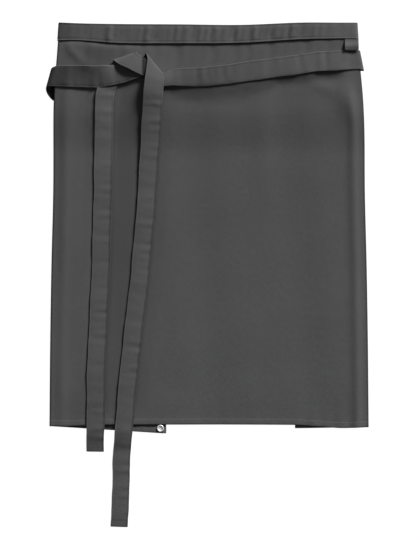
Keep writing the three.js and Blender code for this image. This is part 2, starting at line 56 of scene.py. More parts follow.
CORNER_SHARE = 0.45  # how much of a side the rounding of one corner may take
Array = np.ndarray


class Side(Enum):
    """Left or right of the front, as the camera sees it."""

    LEFT = -1
    RIGHT = 1


class Zone(Enum):
    """Stretches of the skirt's cloth, from the left lap's free edge round to the right lap's."""

    LEFT_LAP = "left_lap"
    LEFT_FOLD = "left_fold"
    FRONT = "front"
    RIGHT_FOLD = "right_fold"
    RIGHT_LAP = "right_lap"


@dataclass(frozen=True)
class Sizes:
    """Real sizes in millimetres, the solids' own apart from the right side's ease and longer tails."""

    cloth_wall: float = 1.0
    hem_wall: float = 1.8
    band_wall: float = 1.0
    tie_wall: float = 1.2
    label_wall: float = 1.0
    gap: float = 0.3
    fold_room: float = 0.8
    length: float = 796.4
    top_width: float = 592.0
    hem_width: float = 631.0
    right_ease: float = 4.2
    left_lap_top: float = 245.0
    left_lap_hem: float = 231.0
    right_lap_top: float = 160.0
    right_lap_hem: float = 145.0
    right_slip: float = 7.0
    hem_height: float = 10.5
    band_height: float = 35.0
    lift_from: float = 165.0
    lift_to: float = 260.0
    tie_width: float = 36.0
    root_overlap: float = 18.0
    root_drop: float = 21.0
    right_side_drop: float = 71.0
    right_back_drop: float = 75.0
    left_side_drop: float = 133.5
    left_front_drop: float = 105.0
    loop_reach: float = 12.0
    wrap_reach: float = 4.5
    knot_across: float = -154.8
    knot_drop: float = 88.0
    long_tail: float = 884.0
    short_tail: float = 718.5
    tail_settle: float = 60.0
    label_width: float = 27.0
    label_length: float = 23.5
    label_inset: float = 1.5
    stud_diameter: float = 14.0
    stud_cap_height: float = 1.2
    stud_ring_height: float = 2.2
    stud_post: float = 5.0
    stud_clear: float = 1.0
    stud_margin: float = 2.3
    stud_inset: float = 10.2
    stud_lift_flat: float = 34.0
    stud_lift_reach: float = 100.0

    @property
    def pitch(self) -> float:
        """The height of one layer of tie with its gap."""
        return self.tie_wall + self.gap

    @property
    def band_offset(self) -> float:
        """From the middle of the skirt's cloth to the middle of the band's wall over it."""
        return self.cloth_wall / 2 + self.gap + self.band_wall / 2

    @property
    def band_stack(self) -> float:
        """The thickness of skirt and band together."""
        return self.cloth_wall + 2 * (self.gap + self.band_wall)

    @property
    def lap_high(self) -> float:
        """The middle height of a lap over the ties' back runs."""
        return 2 * self.pitch + self.band_stack / 2

    @property
    def front_high(self) -> float:
        """The middle height of the front over the ties' back runs."""
        return self.lap_high + self.band_stack + self.gap + self.fold_room

    @property
    def front_low(self) -> float:
        """The middle height of the front near the hem."""
        return self.hem_wall + self.fold_room + self.hem_wall / 2

    @property
    def left_slip(self) -> float:
        """How far the left lap's corner hangs below the front hem."""
        return self.stud_diameter + self.stud_clear + self.stud_margin


# Each row: share of the length, share of the widening from waist to hem
SIDE_OUTLINE = ((0.0, 0.0), (0.06, 0.16), (0.19, 0.54), (0.42, 0.62), (0.6, 0.8), (0.8, 0.93), (1.0, 1.0))

# Each row: share of the width from the middle, dip and depth in band heights
WAIST_WAVE = (
    (-0.5, -0.07, 1.02), (-0.43, -0.02, 0.96), (-0.3, 0.02, 1.08), (-0.09, 0.04, 1.08),
    (0.11, 0.07, 1.02), (0.31, -0.06, 0.95), (0.44, -0.06, 0.9), (0.5, -0.06, 0.9),
)

# Each row: share of the width from the middle, dip in hem heights
HEM_WAVE = ((-0.5, 0.28), (-0.43, 0.24), (-0.33, 0.0), (0.26, 0.0), (0.33, 0.25), (0.42, 0.6), (0.5, 0.45))

# Each row: drop and across of a tail's left edge on the front, in millimetres
LONG_TAIL_EDGE = (
    (86.2, -124.1), (121.0, -126.6), (159.2, -130.4), (191.4, -133.0), (350.2, -141.5), (509.0, -155.4),
    (667.8, -173.7), (786.9, -184.6),
)
SHORT_TAIL_EDGE = (
    (129.8, -222.3), (191.4, -225.1), (350.2, -227.5), (509.0, -231.8), (667.8, -239.6), (786.9, -241.2),
)

# Each row: across, drop of the front run's lower edge, the swell's height there, its reach below, softness
FRONT_RUN_SWELL = (
    (-110.0, 124.0, 1.5, 18.0, 1.2), (-70.0, 123.4, 3.4, 30.0, 1.4), (-15.9, 121.9, 4.4, 36.0, 1.4),
    (63.5, 114.9, 4.6, 38.0, 1.4), (105.0, 108.9, 4.4, 36.0, 1.4), (126.0, 105.6, 3.6, 24.0, 1.2),
    (137.0, 104.2, 3.4, 14.5, 1.0), (153.0, 102.2, 3.8, 16.5, 1.0), (169.0, 100.2, 4.2, 18.5, 1.0),
    (184.0, 98.1, 4.7, 21.0, 1.0), (200.0, 96.1, 4.9, 23.0, 1.0), (210.0, 95.0, 4.3, 19.0, 1.0),
    (217.0, 94.3, 3.5, 15.5, 1.0), (232.0, 92.7, 3.4, 14.5, 1.0), (248.0, 91.5, 3.9, 17.0, 1.0),
    (264.0, 90.5, 3.4, 15.0, 1.0), (274.0, 90.0, 1.5, 8.0, 1.0), (284.0, 89.5, 0.3, 5.0, 1.0),
    (300.0, 88.8, 0.2, 5.0, 1.0),
)

# Each row: across, drop, height, long reach, short reach, turn of the long reach in degrees
SWELLS = (
    (-118.0, 116.0, 3.8, 60.0, 44.0, -60.0), (276.0, 150.0, 3.4, 34.0, 22.0, -75.0),
    (-262.0, 62.0, 1.7, 30.0, 8.0, -42.0), (110.0, 210.0, 1.0, 120.0, 22.0, -88.0),
    (-215.0, 36.0, 2.0, 75.0, 26.0, 0.0),
    (-285.0, 190.0, 1.0, 90.0, 22.0, -88.0), (232.0, 128.0, 1.2, 26.0, 12.0, -20.0),
)

# Each row: a tail's left edge, the swell's height at its top and further down, its reach to the left
TAIL_SWELLS = ((LONG_TAIL_EDGE, 2.2, 1.9, 42.0), (SHORT_TAIL_EDGE, 1.3, 0.5, 20.0))

# Waves of the cloth, each with its length and height in millimetres and its phase
GATHER_WAVES = ((23.0, 0.24, 0.4), (37.0, 0.33, 1.9), (61.0, 0.4, 4.0))
SLOW_WAVES_ACROSS = ((173.0, 0.5, 0.7), (97.0, 0.22, 2.2))
SLOW_WAVES_DOWN = ((310.0, 0.45, 1.0), (143.0, 0.18, 5.1))
PUCKER_WAVES = ((29.0, 0.4, 0.3), (43.0, 0.3, 1.2))
BAND_WAVES = (
    (12.0, 0.16, 0.7), (15.1, 0.3, 0.0), (19.3, 0.36, 1.3),
    (26.2, 0.4, 4.1), (36.7, 0.5, 2.9), (71.0, 0.5, 0.2),
)
TIE_SWAY_WAVES = ((140.0, 0.35, 0.0), (67.0, 0.22, 1.0))
TIE_WIDTH_WAVES = ((83.0, 1.0, 0.0), (31.0, 0.5, 2.0))
TIE_LIFT_WAVES = ((52.0, 0.16, 0.5), (29.0, 0.1, 2.0), (118.0, 0.22, 4.0))
TIE_COCKLE_WAVES = ((17.0, 0.24, 0.0), (26.0, 0.34, 1.5))


def smooth_step(low: float, high: float, value: Array | float) -> Array:
    """Eases from 0 at low to 1 at high."""
    share = np.clip((np.asarray(value, float) - low) / (high - low), 0, 1)
    return share * share * (3 - 2 * share)


def mix(start: Array | float, end: Array | float, share: Array | float) -> Array | float:
    """Goes from start to end by a share."""
    return start + (end - start) * share


def hump(value: Array | float, centre: float, width: float) -> Array:
    """A round hump of height 1 about a centre."""
    return np.exp(-(((np.asarray(value, float) - centre) / width) ** 2))


def along(rows: Sequence[Sequence[float]], column: int, at: Array | float) -> Array:
    """Reads a table smoothly between its rows.

    Args:
        rows: Rows whose first value is the key, rising.
        column: The column to read.
        at: The keys to read it at.

    Returns:
        The column's value at each key.
    """
    keys = np.array([row[0] for row in rows], float)
    values = np.array([row[column] for row in rows], float)
    place = np.clip(np.asarray(at, float), keys[0], keys[-1])
    last = len(keys) - 1
    i = np.clip(np.searchsorted(keys, place, side="right") - 1, 0, last - 1)
    before, after = np.maximum(i - 1, 0), np.minimum(i + 2, last)
    width = keys[i + 1] - keys[i]
    share = (place - keys[i]) / width
    start = (values[i + 1] - values[before]) / (keys[i + 1] - keys[before]) * width
    end = (values[after] - values[i]) / (keys[after] - keys[i]) * width
    rise = values[i + 1] - values[i]
    bend = share * (1 - share)
    return values[i] + rise * share * share * (3 - 2 * share) + bend * ((1 - share) * start - share * end)


def ripple(value: Array | float, waves: Sequence[tuple[float, float, float]]) -> Array:
    """Adds sine waves.

    Args:
        value: Where to read them, in millimetres.
        waves: Each wave's length, height and phase.

    Returns:
        Their sum.
    """
    place = np.asarray(value, float)
    return sum(height * np.sin(2 * math.pi * place / length + phase) for length, height, phase in waves)


def run_lengths(points: Array) -> Array:
    """The way along a line of points, from its start to each."""
    return np.concatenate([[0], np.cumsum(np.linalg.norm(np.diff(points, axis=0), axis=1))])


def chart_of(across: Array, down: Array) -> Array:
    """Texture coordinates from distances across and down the cloth."""
    return np.stack(np.broadcast_arrays(across, down), axis=-1)


@dataclass(frozen=True)
class Ridge:
    """A soft ridge of cloth down beside a side edge, in millimetres."""

    height: float
    inset: float
    width: float
    starts: float
    full: float

    def rise(self, inward: Array, drop: Array) -> Array:
        """The ridge's height at a distance in from the side edge."""
        return self.height * hump(inward, self.inset, self.width) * smooth_step(self.starts, self.full, drop)


@dataclass(frozen=True)
class Layout:
    """Where the cloth lies, from the waist down and out from the front's middle."""

    sizes: Sizes = field(default_factory=Sizes)
    right_ridge: Ridge = Ridge(3.2, 19, 12, 110, 200)
    left_ridge: Ridge = Ridge(1.2, 20, 14, 120, 300)
    gather_reach: float = 45.0
    pucker_reach: float = 24.0
    slow_lift: float = 0.9
    hem_calm: float = 0.6
    hem_sink: float = 0.55
    run_swell_share: float = 0.88
    run_swell_above: float = 40.0
    swell_overlap: float = 0.25
    # Strengths of the painted shade below and beside the ties and below the band's left part, and the place
    # and width of the painted shadow line along each tail's right edge.
    run_shade: float = 0.3
    tail_shade: float = 0.17
    left_shade: float = 0.15
    touch_shade: float = 0.24
    touch_line: float = 38.5
    touch_width: float = 3.0

    def raised(self, drop: Array) -> Array:
        """1 over the ties' back runs, 0 below them."""
        return 1 - smooth_step(self.sizes.lift_from, self.sizes.lift_to, drop)

    def front_width(self, drop: Array) -> Array:
        """The front's width at a drop."""
        flare = along(SIDE_OUTLINE, 1, np.asarray(drop) / self.sizes.length)
        return mix(self.sizes.top_width, self.sizes.hem_width, flare)

    def half_width(self, drop: Array, across: Array) -> Array:
        """From the front's middle to its side edge, with the little more that hangs on the right."""
        ease = self.sizes.right_ease * smooth_step(60, 260, drop)
        return self.front_width(drop) / 2 + np.where(np.asarray(across) > 0, ease, 0)

    def waist_dip(self, across: Array) -> Array:
        """How far the waist's edge dips."""
        return self.sizes.band_height * along(WAIST_WAVE, 1, np.asarray(across) / self.sizes.top_width)

    def band_depth(self, across: Array) -> Array:
        """How deep the band is."""
        return self.sizes.band_height * along(WAIST_WAVE, 2, np.asarray(across) / self.sizes.top_width)

    def front_hem(self, across: Array) -> Array:
        """The front hem's drop."""
        dip = along(HEM_WAVE, 1, np.asarray(across) / self.sizes.hem_width)
        return self.sizes.length + self.sizes.hem_height * dip

    @property
    def stud_place(self) -> tuple[float, float]:
        """The press stud's place, in the left lap's corner just below the front hem.

        Returns:
            Across and drop in millimetres.
        """
        s = self.sizes
        across = -s.hem_width / 2 + s.left_lap_hem - s.stud_inset
        return across, float(self.front_hem(across)) + s.stud_clear + s.stud_diameter / 2

    def stud_lift(self, across: Array, drop: Array) -> Array:
        """How far the stud's cap lifts the cloth round it.

        Args:
            across: Millimetres from the front's middle.
            drop: Millimetres down from the waist.

        Returns:
            Lifts in millimetres.
        """
        place = self.stud_place
        far = np.hypot(np.asarray(across) - place[0], np.asarray(drop) - place[1])
        eased = 1 - smooth_step(self.sizes.stud_lift_flat, self.sizes.stud_lift_reach, far)
        return (self.sizes.stud_cap_height + self.sizes.gap) * eased

    def lap_height(self, across: Array, drop: Array, wall: Array | float) -> Array:
        """The middle height of a lap's cloth."""
        flat = mix(np.asarray(wall) / 2, self.sizes.lap_high, self.raised(drop))
        return flat + self.stud_lift(across, drop)

    def front_height(self, across: Array, drop: Array) -> Array:
        """The middle height of the front's cloth, smoothed flat."""
        flat = mix(self.sizes.front_low, self.sizes.front_high, self.raised(drop))
        return flat + self.stud_lift(across, drop)

    def relief(self, across: Array, drop: Array) -> Array:
        """The front's soft gathers, side ridges and slow waves, above its flat height.

        Args:
            across: Millimetres from the front's middle.
            drop: Millimetres down from the waist.

        Returns:
            Heights in millimetres.
        """
        across, drop = np.asarray(across, float), np.asarray(drop, float)
        half = self.half_width(drop, across)
        below = drop - self.waist_dip(across) - self.band_depth(across)
        gathers = ripple(across + 0.12 * drop, GATHER_WAVES)
        gathers = gathers * np.exp(-np.maximum(below, 0) / self.gather_reach)
        flat_edge = 1 - smooth_step(-30, -2, np.abs(across) - half)
        right = self.right_ridge.rise(half - across, drop)
        left = self.left_ridge.rise(half + across, drop)
        slow = ripple(across - 0.1 * drop, SLOW_WAVES_ACROSS)
        slow = slow + ripple(drop + 0.3 * across, SLOW_WAVES_DOWN)
        slow = (slow + self.slow_lift) * smooth_step(40, 140, drop)
        slow = slow * (1 - smooth_step(720, 790, drop) * self.hem_calm)
        from_hem = self.front_hem(across) - drop
        sunk = self.hem_sink * smooth_step(-50, -12, -from_hem) * (1 - smooth_step(120, 200, across))
        puckers = ripple(across, PUCKER_WAVES) * np.exp(-np.maximum(from_hem, 0) / self.pucker_reach)
        puckers = puckers * (0.25 + hump(across, 245, 60))
        total = gathers + slow + puckers + right + left + self.swells(across, drop)
        return total * flat_edge * smooth_step(-3, 11, below) - sunk

    def swells(self, across: Array, drop: Array) -> Array:
        """How far the cloth stands up round the ties and in its few soft folds.

        Args:
            across: Millimetres from the front's middle.
            drop: Millimetres down from the waist.

        Returns:
            Heights in millimetres.
        """
        total = np.zeros(np.broadcast(across, drop).shape)
        for edge, tall, low, reach in TAIL_SWELLS:
            past = across - along(edge, 1, drop)
            rise = np.clip(1 + past / reach, 0, 1) * (1 - smooth_step(4, 60, past))
            fade = smooth_step(70, 130, drop) * mix(tall, low, smooth_step(200, 420, drop))
            total = total + rise * fade
        below = drop - along(FRONT_RUN_SWELL, 1, across)
        share = np.clip(1 - below / along(FRONT_RUN_SWELL, 3, across), 0, 1)
        share = share ** along(FRONT_RUN_SWELL, 4, across)
        ends = smooth_step(-112, -70, across) * (1 - smooth_step(270, 290, across))
        above = np.clip(1 + below / self.run_swell_above, 0, 1)
        run = self.run_swell_share * along(FRONT_RUN_SWELL, 2, across) * share * above * ends
        for x, y, tall, long, short, turn in SWELLS:
            way = math.radians(turn)
            right, down = across - x, drop - y
            ahead = (right * math.cos(way) - down * math.sin(way)) / long
            aside = (right * math.sin(way) + down * math.cos(way)) / short
            total = total + tall * np.exp(-(ahead**2) - aside**2)
        return np.maximum(total, run) + self.swell_overlap * np.minimum(total, run)

    def painted_tie_shade(self, across: Array, drop: Array) -> Array:
        """How much shade is painted on the cloth below the front run, between and beside the tails, in a line
        along each tail's right edge and in a patch below the band's left part.

        Args:
            across: Millimetres from the front's middle.
            drop: Millimetres down from the waist.

        Returns:
            Shares from 0 to 1.
        """
        below = drop - along(FRONT_RUN_SWELL, 1, across)
        ends = smooth_step(-108, -80, across) * (1 - smooth_step(262, 282, across))
        deep = mix(40, 24, smooth_step(115, 140, across))
        under = smooth_step(-8, 2, below) * (1 - smooth_step(deep * 0.4, deep, below)) * ends
        past = across - along(LONG_TAIL_EDGE, 1, drop)
        beside = smooth_step(-54, -42, past) * (1 - smooth_step(46, 70, past)) * smooth_step(120, 150, drop)
        below_knot = smooth_step(120, 150, drop) * (1 - smooth_step(740, 790, drop))
        past_short = across - along(SHORT_TAIL_EDGE, 1, drop)
        touch = sum(hump(way, self.touch_line, self.touch_width) for way in (past, past_short))
        left = hump(across, -228, 50) * hump(drop, 62, 22)
        soft = np.maximum(self.run_shade * under, self.tail_shade * beside * below_knot)
        return np.maximum(soft, self.left_shade * left) + self.touch_shade * touch * below_knot

    def skirt_point(self, zone: Zone, share: Array | float, drop: Array | float, wall: Array | float,
                    smooth: bool = False) -> tuple[Array, Array]:
        """The middle of the skirt's cloth.

        Args:
            zone: The stretch of cloth.
            share: Share of the way along the stretch, left lap to right lap.
            drop: Millimetres down from the waist, before the waves.
            wall: How thick the cloth is there.
            smooth: Leaves the soft folds out.

        Returns:
            Across and height in millimetres.
        """
        s = self.sizes
        side = -1 if zone in (Zone.LEFT_LAP, Zone.LEFT_FOLD) else 1
        half = self.half_width(drop, side) - np.asarray(wall) / 2
        high = self.front_height(side * half, drop)
        low = self.lap_height(side * half, drop, wall)
        radius = (high - low) / 2
        axis = half - radius
        if zone is Zone.FRONT:
            ease = self.half_width(drop, 1) - self.half_width(drop, -1)
            across = mix(ease - axis, axis, share)
            folds = 0.0 if smooth else self.relief(across, drop)
            return across, self.front_height(across, drop) + folds
        if zone in (Zone.LEFT_FOLD, Zone.RIGHT_FOLD):
            angle = math.pi * (share if side < 0 else 1 - share)
            return side * (axis + radius * np.sin(angle)), (high + low) / 2 - radius * np.cos(angle)
        widths = (s.left_lap_top, s.left_lap_hem) if side < 0 else (s.right_lap_top, s.right_lap_hem)
        inner = half - mix(widths[0], widths[1], np.asarray(drop) / s.length)
        across = side * mix(inner, axis, share if side < 0 else 1 - share)
        return across, self.lap_height(across, drop, wall)

    def hem_drop(self, zone: Zone, share: Array, across: Array) -> Array:
        """How low the hem hangs at a place of the cloth.

        Args:
            zone: The stretch of cloth.
            share: Share of the way along the stretch, left lap to right lap.
            across: Millimetres from the front's middle.

        Returns:
            Drops in millimetres.
        """
        if zone not in (Zone.LEFT_LAP, Zone.RIGHT_LAP):
            return self.front_hem(across)
        left = zone is Zone.LEFT_LAP
        slip = self.sizes.left_slip if left else self.sizes.right_slip
        fold = float(self.front_hem((-1 if left else 1) * self.sizes.hem_width / 2))
        return mix(fold, self.sizes.length + slip, 1 - share if left else share)

    def front_rest(self, across: Array, drop: Array) -> Array:
        """The middle height of a tie that lies on the front, and past the hem down to the floor.

        Args:
            across: Millimetres from the front's middle.
            drop: Millimetres down from the waist.

        Returns:
            Heights in millimetres.
        """
        s = self.sizes
        hem = self.front_hem(across)
        turned = smooth_step(0, 1, (drop - hem + 3 * s.hem_height) / (2 * s.hem_height))
        on_hem = (s.hem_wall - s.cloth_wall) / 2 * turned
        capped = np.minimum(drop, hem)
        on_front = self.front_height(across, capped) + s.cloth_wall / 2 + on_hem + s.gap + s.tie_wall / 2
        on_front = on_front + np.maximum(self.relief(across, capped), 0)
        settle = smooth_step(0, 1, (drop - hem - s.left_slip / 2) / (s.tail_settle - s.left_slip / 2))
        return mix(on_front, s.tie_wall / 2, settle)

    def place(self, across: Array, drop: Array, height: Array) -> Array:
        """Turns millimetres from the waist's middle into metres in the frame.

        Args:
            across: Millimetres from the front's middle.
            drop: Millimetres down from the waist.
            height: Millimetres above the floor.

        Returns:
            Points as an array with a last axis of three.
        """
        low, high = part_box("skirt_panel")
        top = float(high[1]) / MM + float(self.waist_dip(-self.sizes.top_width / 2))
        top = top + self.sizes.band_wall / 2 + self.sizes.band_offset
        middle = (float(low[0]) + float(high[0])) / 2 / MM
        across, drop, height = np.broadcast_arrays(across, drop, height)
        return np.stack([across + middle, top - drop, height], axis=-1) * MM


# Meshes


def border(rows: int, columns: int) -> list[int]:
    """Grid indices round the border of a sheet, in order.

    Args:
        rows: How many rows the grid has.
        columns: How many columns it has.

    Returns:
        The indices, counted row by row.
    """
    top = [j for j in range(columns)]
    right = [i * columns + columns - 1 for i in range(1, rows)]
    bottom = [(rows - 1) * columns + j for j in range(columns - 2, -1, -1)]
    left = [i * columns for i in range(rows - 2, 0, -1)]
    return top + right + bottom + left


def unit(vectors: Array) -> Array:
    """Scales vectors to length 1."""
    return vectors / np.maximum(np.linalg.norm(vectors, axis=-1, keepdims=True), 1e-12)


def sheet_normals(grid: Array) -> tuple[Array, Array, Array]:
    """The directions of a grid of points.

    Args:
        grid: Points, rows by columns by three.

    Returns:
        Unit vectors along the rows, down the columns and out of the grid.
    """
    across = np.gradient(grid, axis=1)
    down = np.gradient(grid, axis=0)
    return unit(across), unit(down), unit(np.cross(across, down))


def add_object(name: str, data: bpy.types.ID) -> bpy.types.Object:
    """Makes an object and puts it in the scene.

    Args:
        name: The object's name.
        data: Its mesh, light or camera.

    Returns:
        The new object.
    """
    made = bpy.data.objects.new(name, data)
    bpy.context.scene.collection.objects.link(made)
    return made


def sheet_object(name: str, grid: Array, wall: Array | float, chart: Array, wear_and_painted_light: Array | None = None,
                 wear_and_painted_light_inside: Array | None = None) -> bpy.types.Object:
    """Makes a closed sheet of cloth with a rounded edge.

    Args:
        name: The object's name.
        grid: Middle points, rows by columns by three, in metres.
        wall: The thickness in metres, one value or rows by columns.
        chart: Texture coordinates in metres of cloth, rows by columns by two.
        wear_and_painted_light: How much lighter each point is from rubbing marks and painted highlight (up to
            1), or darker from painted shade (down to -1).
        wear_and_painted_light_inside: The same for the inner face, where it isn't as the outer one.

    Returns:
        The new object.
    """
    rows, columns = grid.shape[:2]
    thick = np.broadcast_to(np.asarray(wall, float), (rows, columns))[..., None] / 2
    across, down, out = sheet_normals(grid)
    faces = [(grid + out * thick).reshape(-1, 3), (grid - out * thick).reshape(-1, 3)]
    ring = border(rows, columns)
    push = np.zeros_like(grid)
    push[0] -= down[0]
    push[-1] += down[-1]
    push[:, 0] -= across[:, 0]
    push[:, -1] += across[:, -1]
    edge = (grid + unit(push) * thick * RIM_REACH).reshape(-1, 3)[ring]
    points = np.concatenate([*faces, edge])
    count = rows * columns
    index = np.arange(count).reshape(rows, columns)
    a, b = index[:-1, :-1].ravel(), index[:-1, 1:].ravel()
    c, d = index[1:, 1:].ravel(), index[1:, :-1].ravel()
    upper = np.stack([a, b, c, d], axis=1)
    lower = np.stack([a, d, c, b], axis=1) + count
    here = np.array(ring)
    there = np.roll(here, -1)
    rim = np.arange(len(ring)) + 2 * count
    rim_next = np.roll(rim, -1)
    outer = np.stack([there, here, rim, rim_next], axis=1)
    inner = np.stack([rim_next, rim, here + count, there + count], axis=1)
    quads = np.concatenate([upper, lower, outer, inner])
    flat_chart = chart.reshape(-1, 2)
    charts = np.concatenate([flat_chart, flat_chart, flat_chart[ring]])
    # Painted light: above 0 lighter rubbing marks and painted highlight, below 0 painted shade.
    outer_wear_and_light = np.zeros(count) if wear_and_painted_light is None else np.asarray(wear_and_painted_light, float).reshape(-1)
    inside = outer_wear_and_light if wear_and_painted_light_inside is None else np.asarray(wear_and_painted_light_inside, float).reshape(-1)
    all_wear_and_light = np.concatenate([inside, outer_wear_and_light, outer_wear_and_light[ring]])
    return mesh_object(name, points, quads, charts, all_wear_and_light)


def mesh_object(name: str, points: Array, quads: Array, charts: Array | None = None,
                wear_and_painted_light: Array | None = None) -> bpy.types.Object:
    """Makes a smooth-shaded object from points and quads, facing out.

    Args:
        name: The object's name.
        points: Vertex places in metres.
        quads: Four indices a face.
        charts: Texture coordinates a vertex.
        wear_and_painted_light: How much lighter (rubbing marks and painted highlight) or darker (painted
            shade) a vertex is.

    Returns:
        The new object.
    """
    corners = points[quads]
    volume = np.einsum("ij,ij->i", corners[:, 0], np.cross(corners[:, 1], corners[:, 2])).sum()
    volume += np.einsum("ij,ij->i", corners[:, 0], np.cross(corners[:, 2], corners[:, 3])).sum()
    if volume < 0:
        quads = quads[:, ::-1]
    mesh = bpy.data.meshes.new(name)
    mesh.vertices.add(len(points))
    mesh.vertices.foreach_set("co", points.astype(np.float32).ravel())
    mesh.loops.add(quads.size)
    mesh.loops.foreach_set("vertex_index", quads.astype(np.int32).ravel())
    mesh.polygons.add(len(quads))
    mesh.polygons.foreach_set("loop_start", np.arange(0, quads.size, 4, dtype=np.int32))
    mesh.update(calc_edges=True)
    mesh.validate()
    mesh.polygons.foreach_set("use_smooth", np.ones(len(mesh.polygons), dtype=bool))
    if charts is not None:
        layer = mesh.uv_layers.new(name="Cloth")
        layer.data.foreach_set("uv", charts[quads.ravel()].astype(np.float32).ravel())
    if wear_and_painted_light is not None:
        mesh.attributes.new("wear_and_painted_light", "FLOAT", "POINT").data.foreach_set("value", wear_and_painted_light.astype(np.float32))
    return add_object(name, mesh)


def turned_object(name: str, profile: Sequence[tuple[float, float]], centre: Array,
                  steps: int = 72) -> bpy.types.Object:
    """Turns a closed profile about a vertical axis.

    Args:
        name: The object's name.
        profile: Radius and height pairs in millimetres, a closed loop off the axis.
        centre: The axis's foot in metres.
        steps: How many steps go round.

    Returns:
        The new object.
    """
    loop = np.array(profile, float) * MM
    angles = np.arange(steps) * 2 * math.pi / steps
    x = np.cos(angles)[:, None] * loop[:, 0] + centre[0]
    y = np.sin(angles)[:, None] * loop[:, 0] + centre[1]
    z = np.broadcast_to(loop[:, 1] + centre[2], x.shape)
    points = np.stack([x, y, z], axis=-1).reshape(-1, 3)
    many = len(loop)
    index = np.arange(steps * many).reshape(steps, many)
    after = np.roll(index, -1, axis=0)
    quads = np.stack([index.ravel(), after.ravel(), np.roll(after, -1, axis=1).ravel(),
                      np.roll(index, -1, axis=1).ravel()], axis=1)
    return mesh_object(name, points, quads)


def rounded_loop(corners: Sequence[tuple[float, float]], radius: float,
                 steps: int = 3) -> list[tuple[float, float]]:
    """Rounds the corners of a closed profile.

    Args:
        corners: The profile's corners in order.
        radius: How far from a corner the rounding starts.
        steps: How many steps go round a corner.

    Returns:
        The rounded profile.
    """
    points: list[tuple[float, float]] = []
    for i, corner in enumerate(corners):
        here = np.array(corner)
        before, after = np.array(corners[i - 1]), np.array(corners[(i + 1) % len(corners)])
        shorter = min(np.linalg.norm(before - here), np.linalg.norm(after - here))
        reach = min(radius, shorter * CORNER_SHARE)
        start = here + unit(before - here) * reach
        end = here + unit(after - here) * reach
        for share in np.linspace(0, 1, steps + 1):
            spot = (1 - share) ** 2 * start + 2 * share * (1 - share) * here + share**2 * end
            points.append((float(spot[0]), float(spot[1])))
    return points


# Materials


class Value:
    """A shader socket that adds Math nodes when it is used in an expression."""

    def __init__(self, board: "NodeBoard", socket: bpy.types.NodeSocket) -> None:
        """Keeps the socket and the board that it is on."""
        self.board = board
        self.socket = socket

    def _math(self, operation: str, *values: "Value | float") -> "Value":
        """Adds one Math node."""
        return self.board.node("ShaderNodeMath", {"operation": operation}, dict(enumerate(values)))

    def __add__(self, other: "Value | float") -> "Value":
        """self + other."""
        return self._math("ADD", self, other)

    def __radd__(self, other: "Value | float") -> "Value":
        """other + self."""
        return self._math("ADD", other, self)

    def __sub__(self, other: "Value | float") -> "Value":
        """self - other."""
        return self._math("SUBTRACT", self, other)

    def __rsub__(self, other: "Value | float") -> "Value":
        """other - self."""
        return self._math("SUBTRACT", other, self)

    def __mul__(self, other: "Value | float") -> "Value":
        """self * other."""
        return self._math("MULTIPLY", self, other)

    def __rmul__(self, other: "Value | float") -> "Value":
        """other * self."""
        return self._math("MULTIPLY", other, self)

    def clamped(self) -> "Value":
        """The value kept between 0 and 1."""
        return self.board.node("ShaderNodeClamp", None, {0: self})

    def sine(self) -> "Value":
        """The sine of the value."""
        return self._math("SINE", self)


class NodeBoard:
    """A material's node tree, built a node at a time."""

    def __init__(self, name: str) -> None:
        """Starts a material with nothing but its output.

        Args:
            name: The material's name.
        """
        self.material = bpy.data.materials.new(name)
        self.material.use_nodes = True
        self.tree = self.material.node_tree
        self.tree.nodes.clear()
        self.output = self.tree.nodes.new("ShaderNodeOutputMaterial")

    def node(self, kind: str, settings: dict[str, object] | None = None,
             inputs: dict[str | int, object] | None = None, out: str | int = 0) -> Value:
        """Adds a node.

        Args:
            kind: The node's type name.
            settings: Its own settings, set first.
            inputs: Values or links of its sockets, by name or number.
            out: The output to return.

        Returns:
            The wrapped output socket.
        """
        made = self.tree.nodes.new(kind)
        for key, value in (settings or {}).items():
            setattr(made, key, value)
        for key, value in (inputs or {}).items():
            self.feed(made.inputs[key], value)
        return Value(self, made.outputs[out])

    def feed(self, socket: bpy.types.NodeSocket, value: object) -> None:
        """Links a value into a socket, or sets it.

        Args:
            socket: The input socket.
            value: A wrapped socket to link, or a plain value to set.
        """
        if isinstance(value, Value):
            self.tree.links.new(value.socket, socket)
        else:
            socket.default_value = value

    def noise(self, where: Value, scale: float, detail: float = 3.0, rough: float = 0.5) -> Value:
        """A noise from 0 to 1.

        Args:
            where: Where it is read.
            scale: How many of its lumps go in a metre, about.
            detail: How many finer layers it has.
            rough: How strong the finer layers are.

        Returns:
            The noise's value.
        """
        inputs = {"Vector": where, "Scale": scale, "Detail": detail, "Roughness": rough}
        return self.node("ShaderNodeTexNoise", {"noise_dimensions": "3D"}, inputs)

    def blend(self, share: Value | float, first: object, second: object) -> Value:
        """Mixes two colours."""
        return self.node("ShaderNodeMix", {"data_type": "RGBA"}, {0: share, 6: first, 7: second}, 2)

    def bump(self, height: Value, strength: float, distance: float, normal: Value | None = None) -> Value:
        """A bump.

        Args:
            height: The height, as a share of the distance.
            strength: How strong it is.
            distance: The distance in metres.
            normal: Another bump's normal that it is laid on.

        Returns:
            The bent normal.
        """
        inputs = {"Strength": strength, "Distance": distance, "Height": height}
        if normal is not None:
            inputs["Normal"] = normal
        return self.node("ShaderNodeBump", None, inputs)

    def finish(self, shader: Value) -> bpy.types.Material:
        """Joins the shader to the output."""
        self.tree.links.new(shader.socket, self.output.inputs["Surface"])
        return self.material


def grey(level: float, warm: float = 0.0) -> tuple[float, float, float, float]:
    """A linear grey, a little warm or cool."""
    return (level * (1 + warm), level, level * (1 - warm), 1.0)


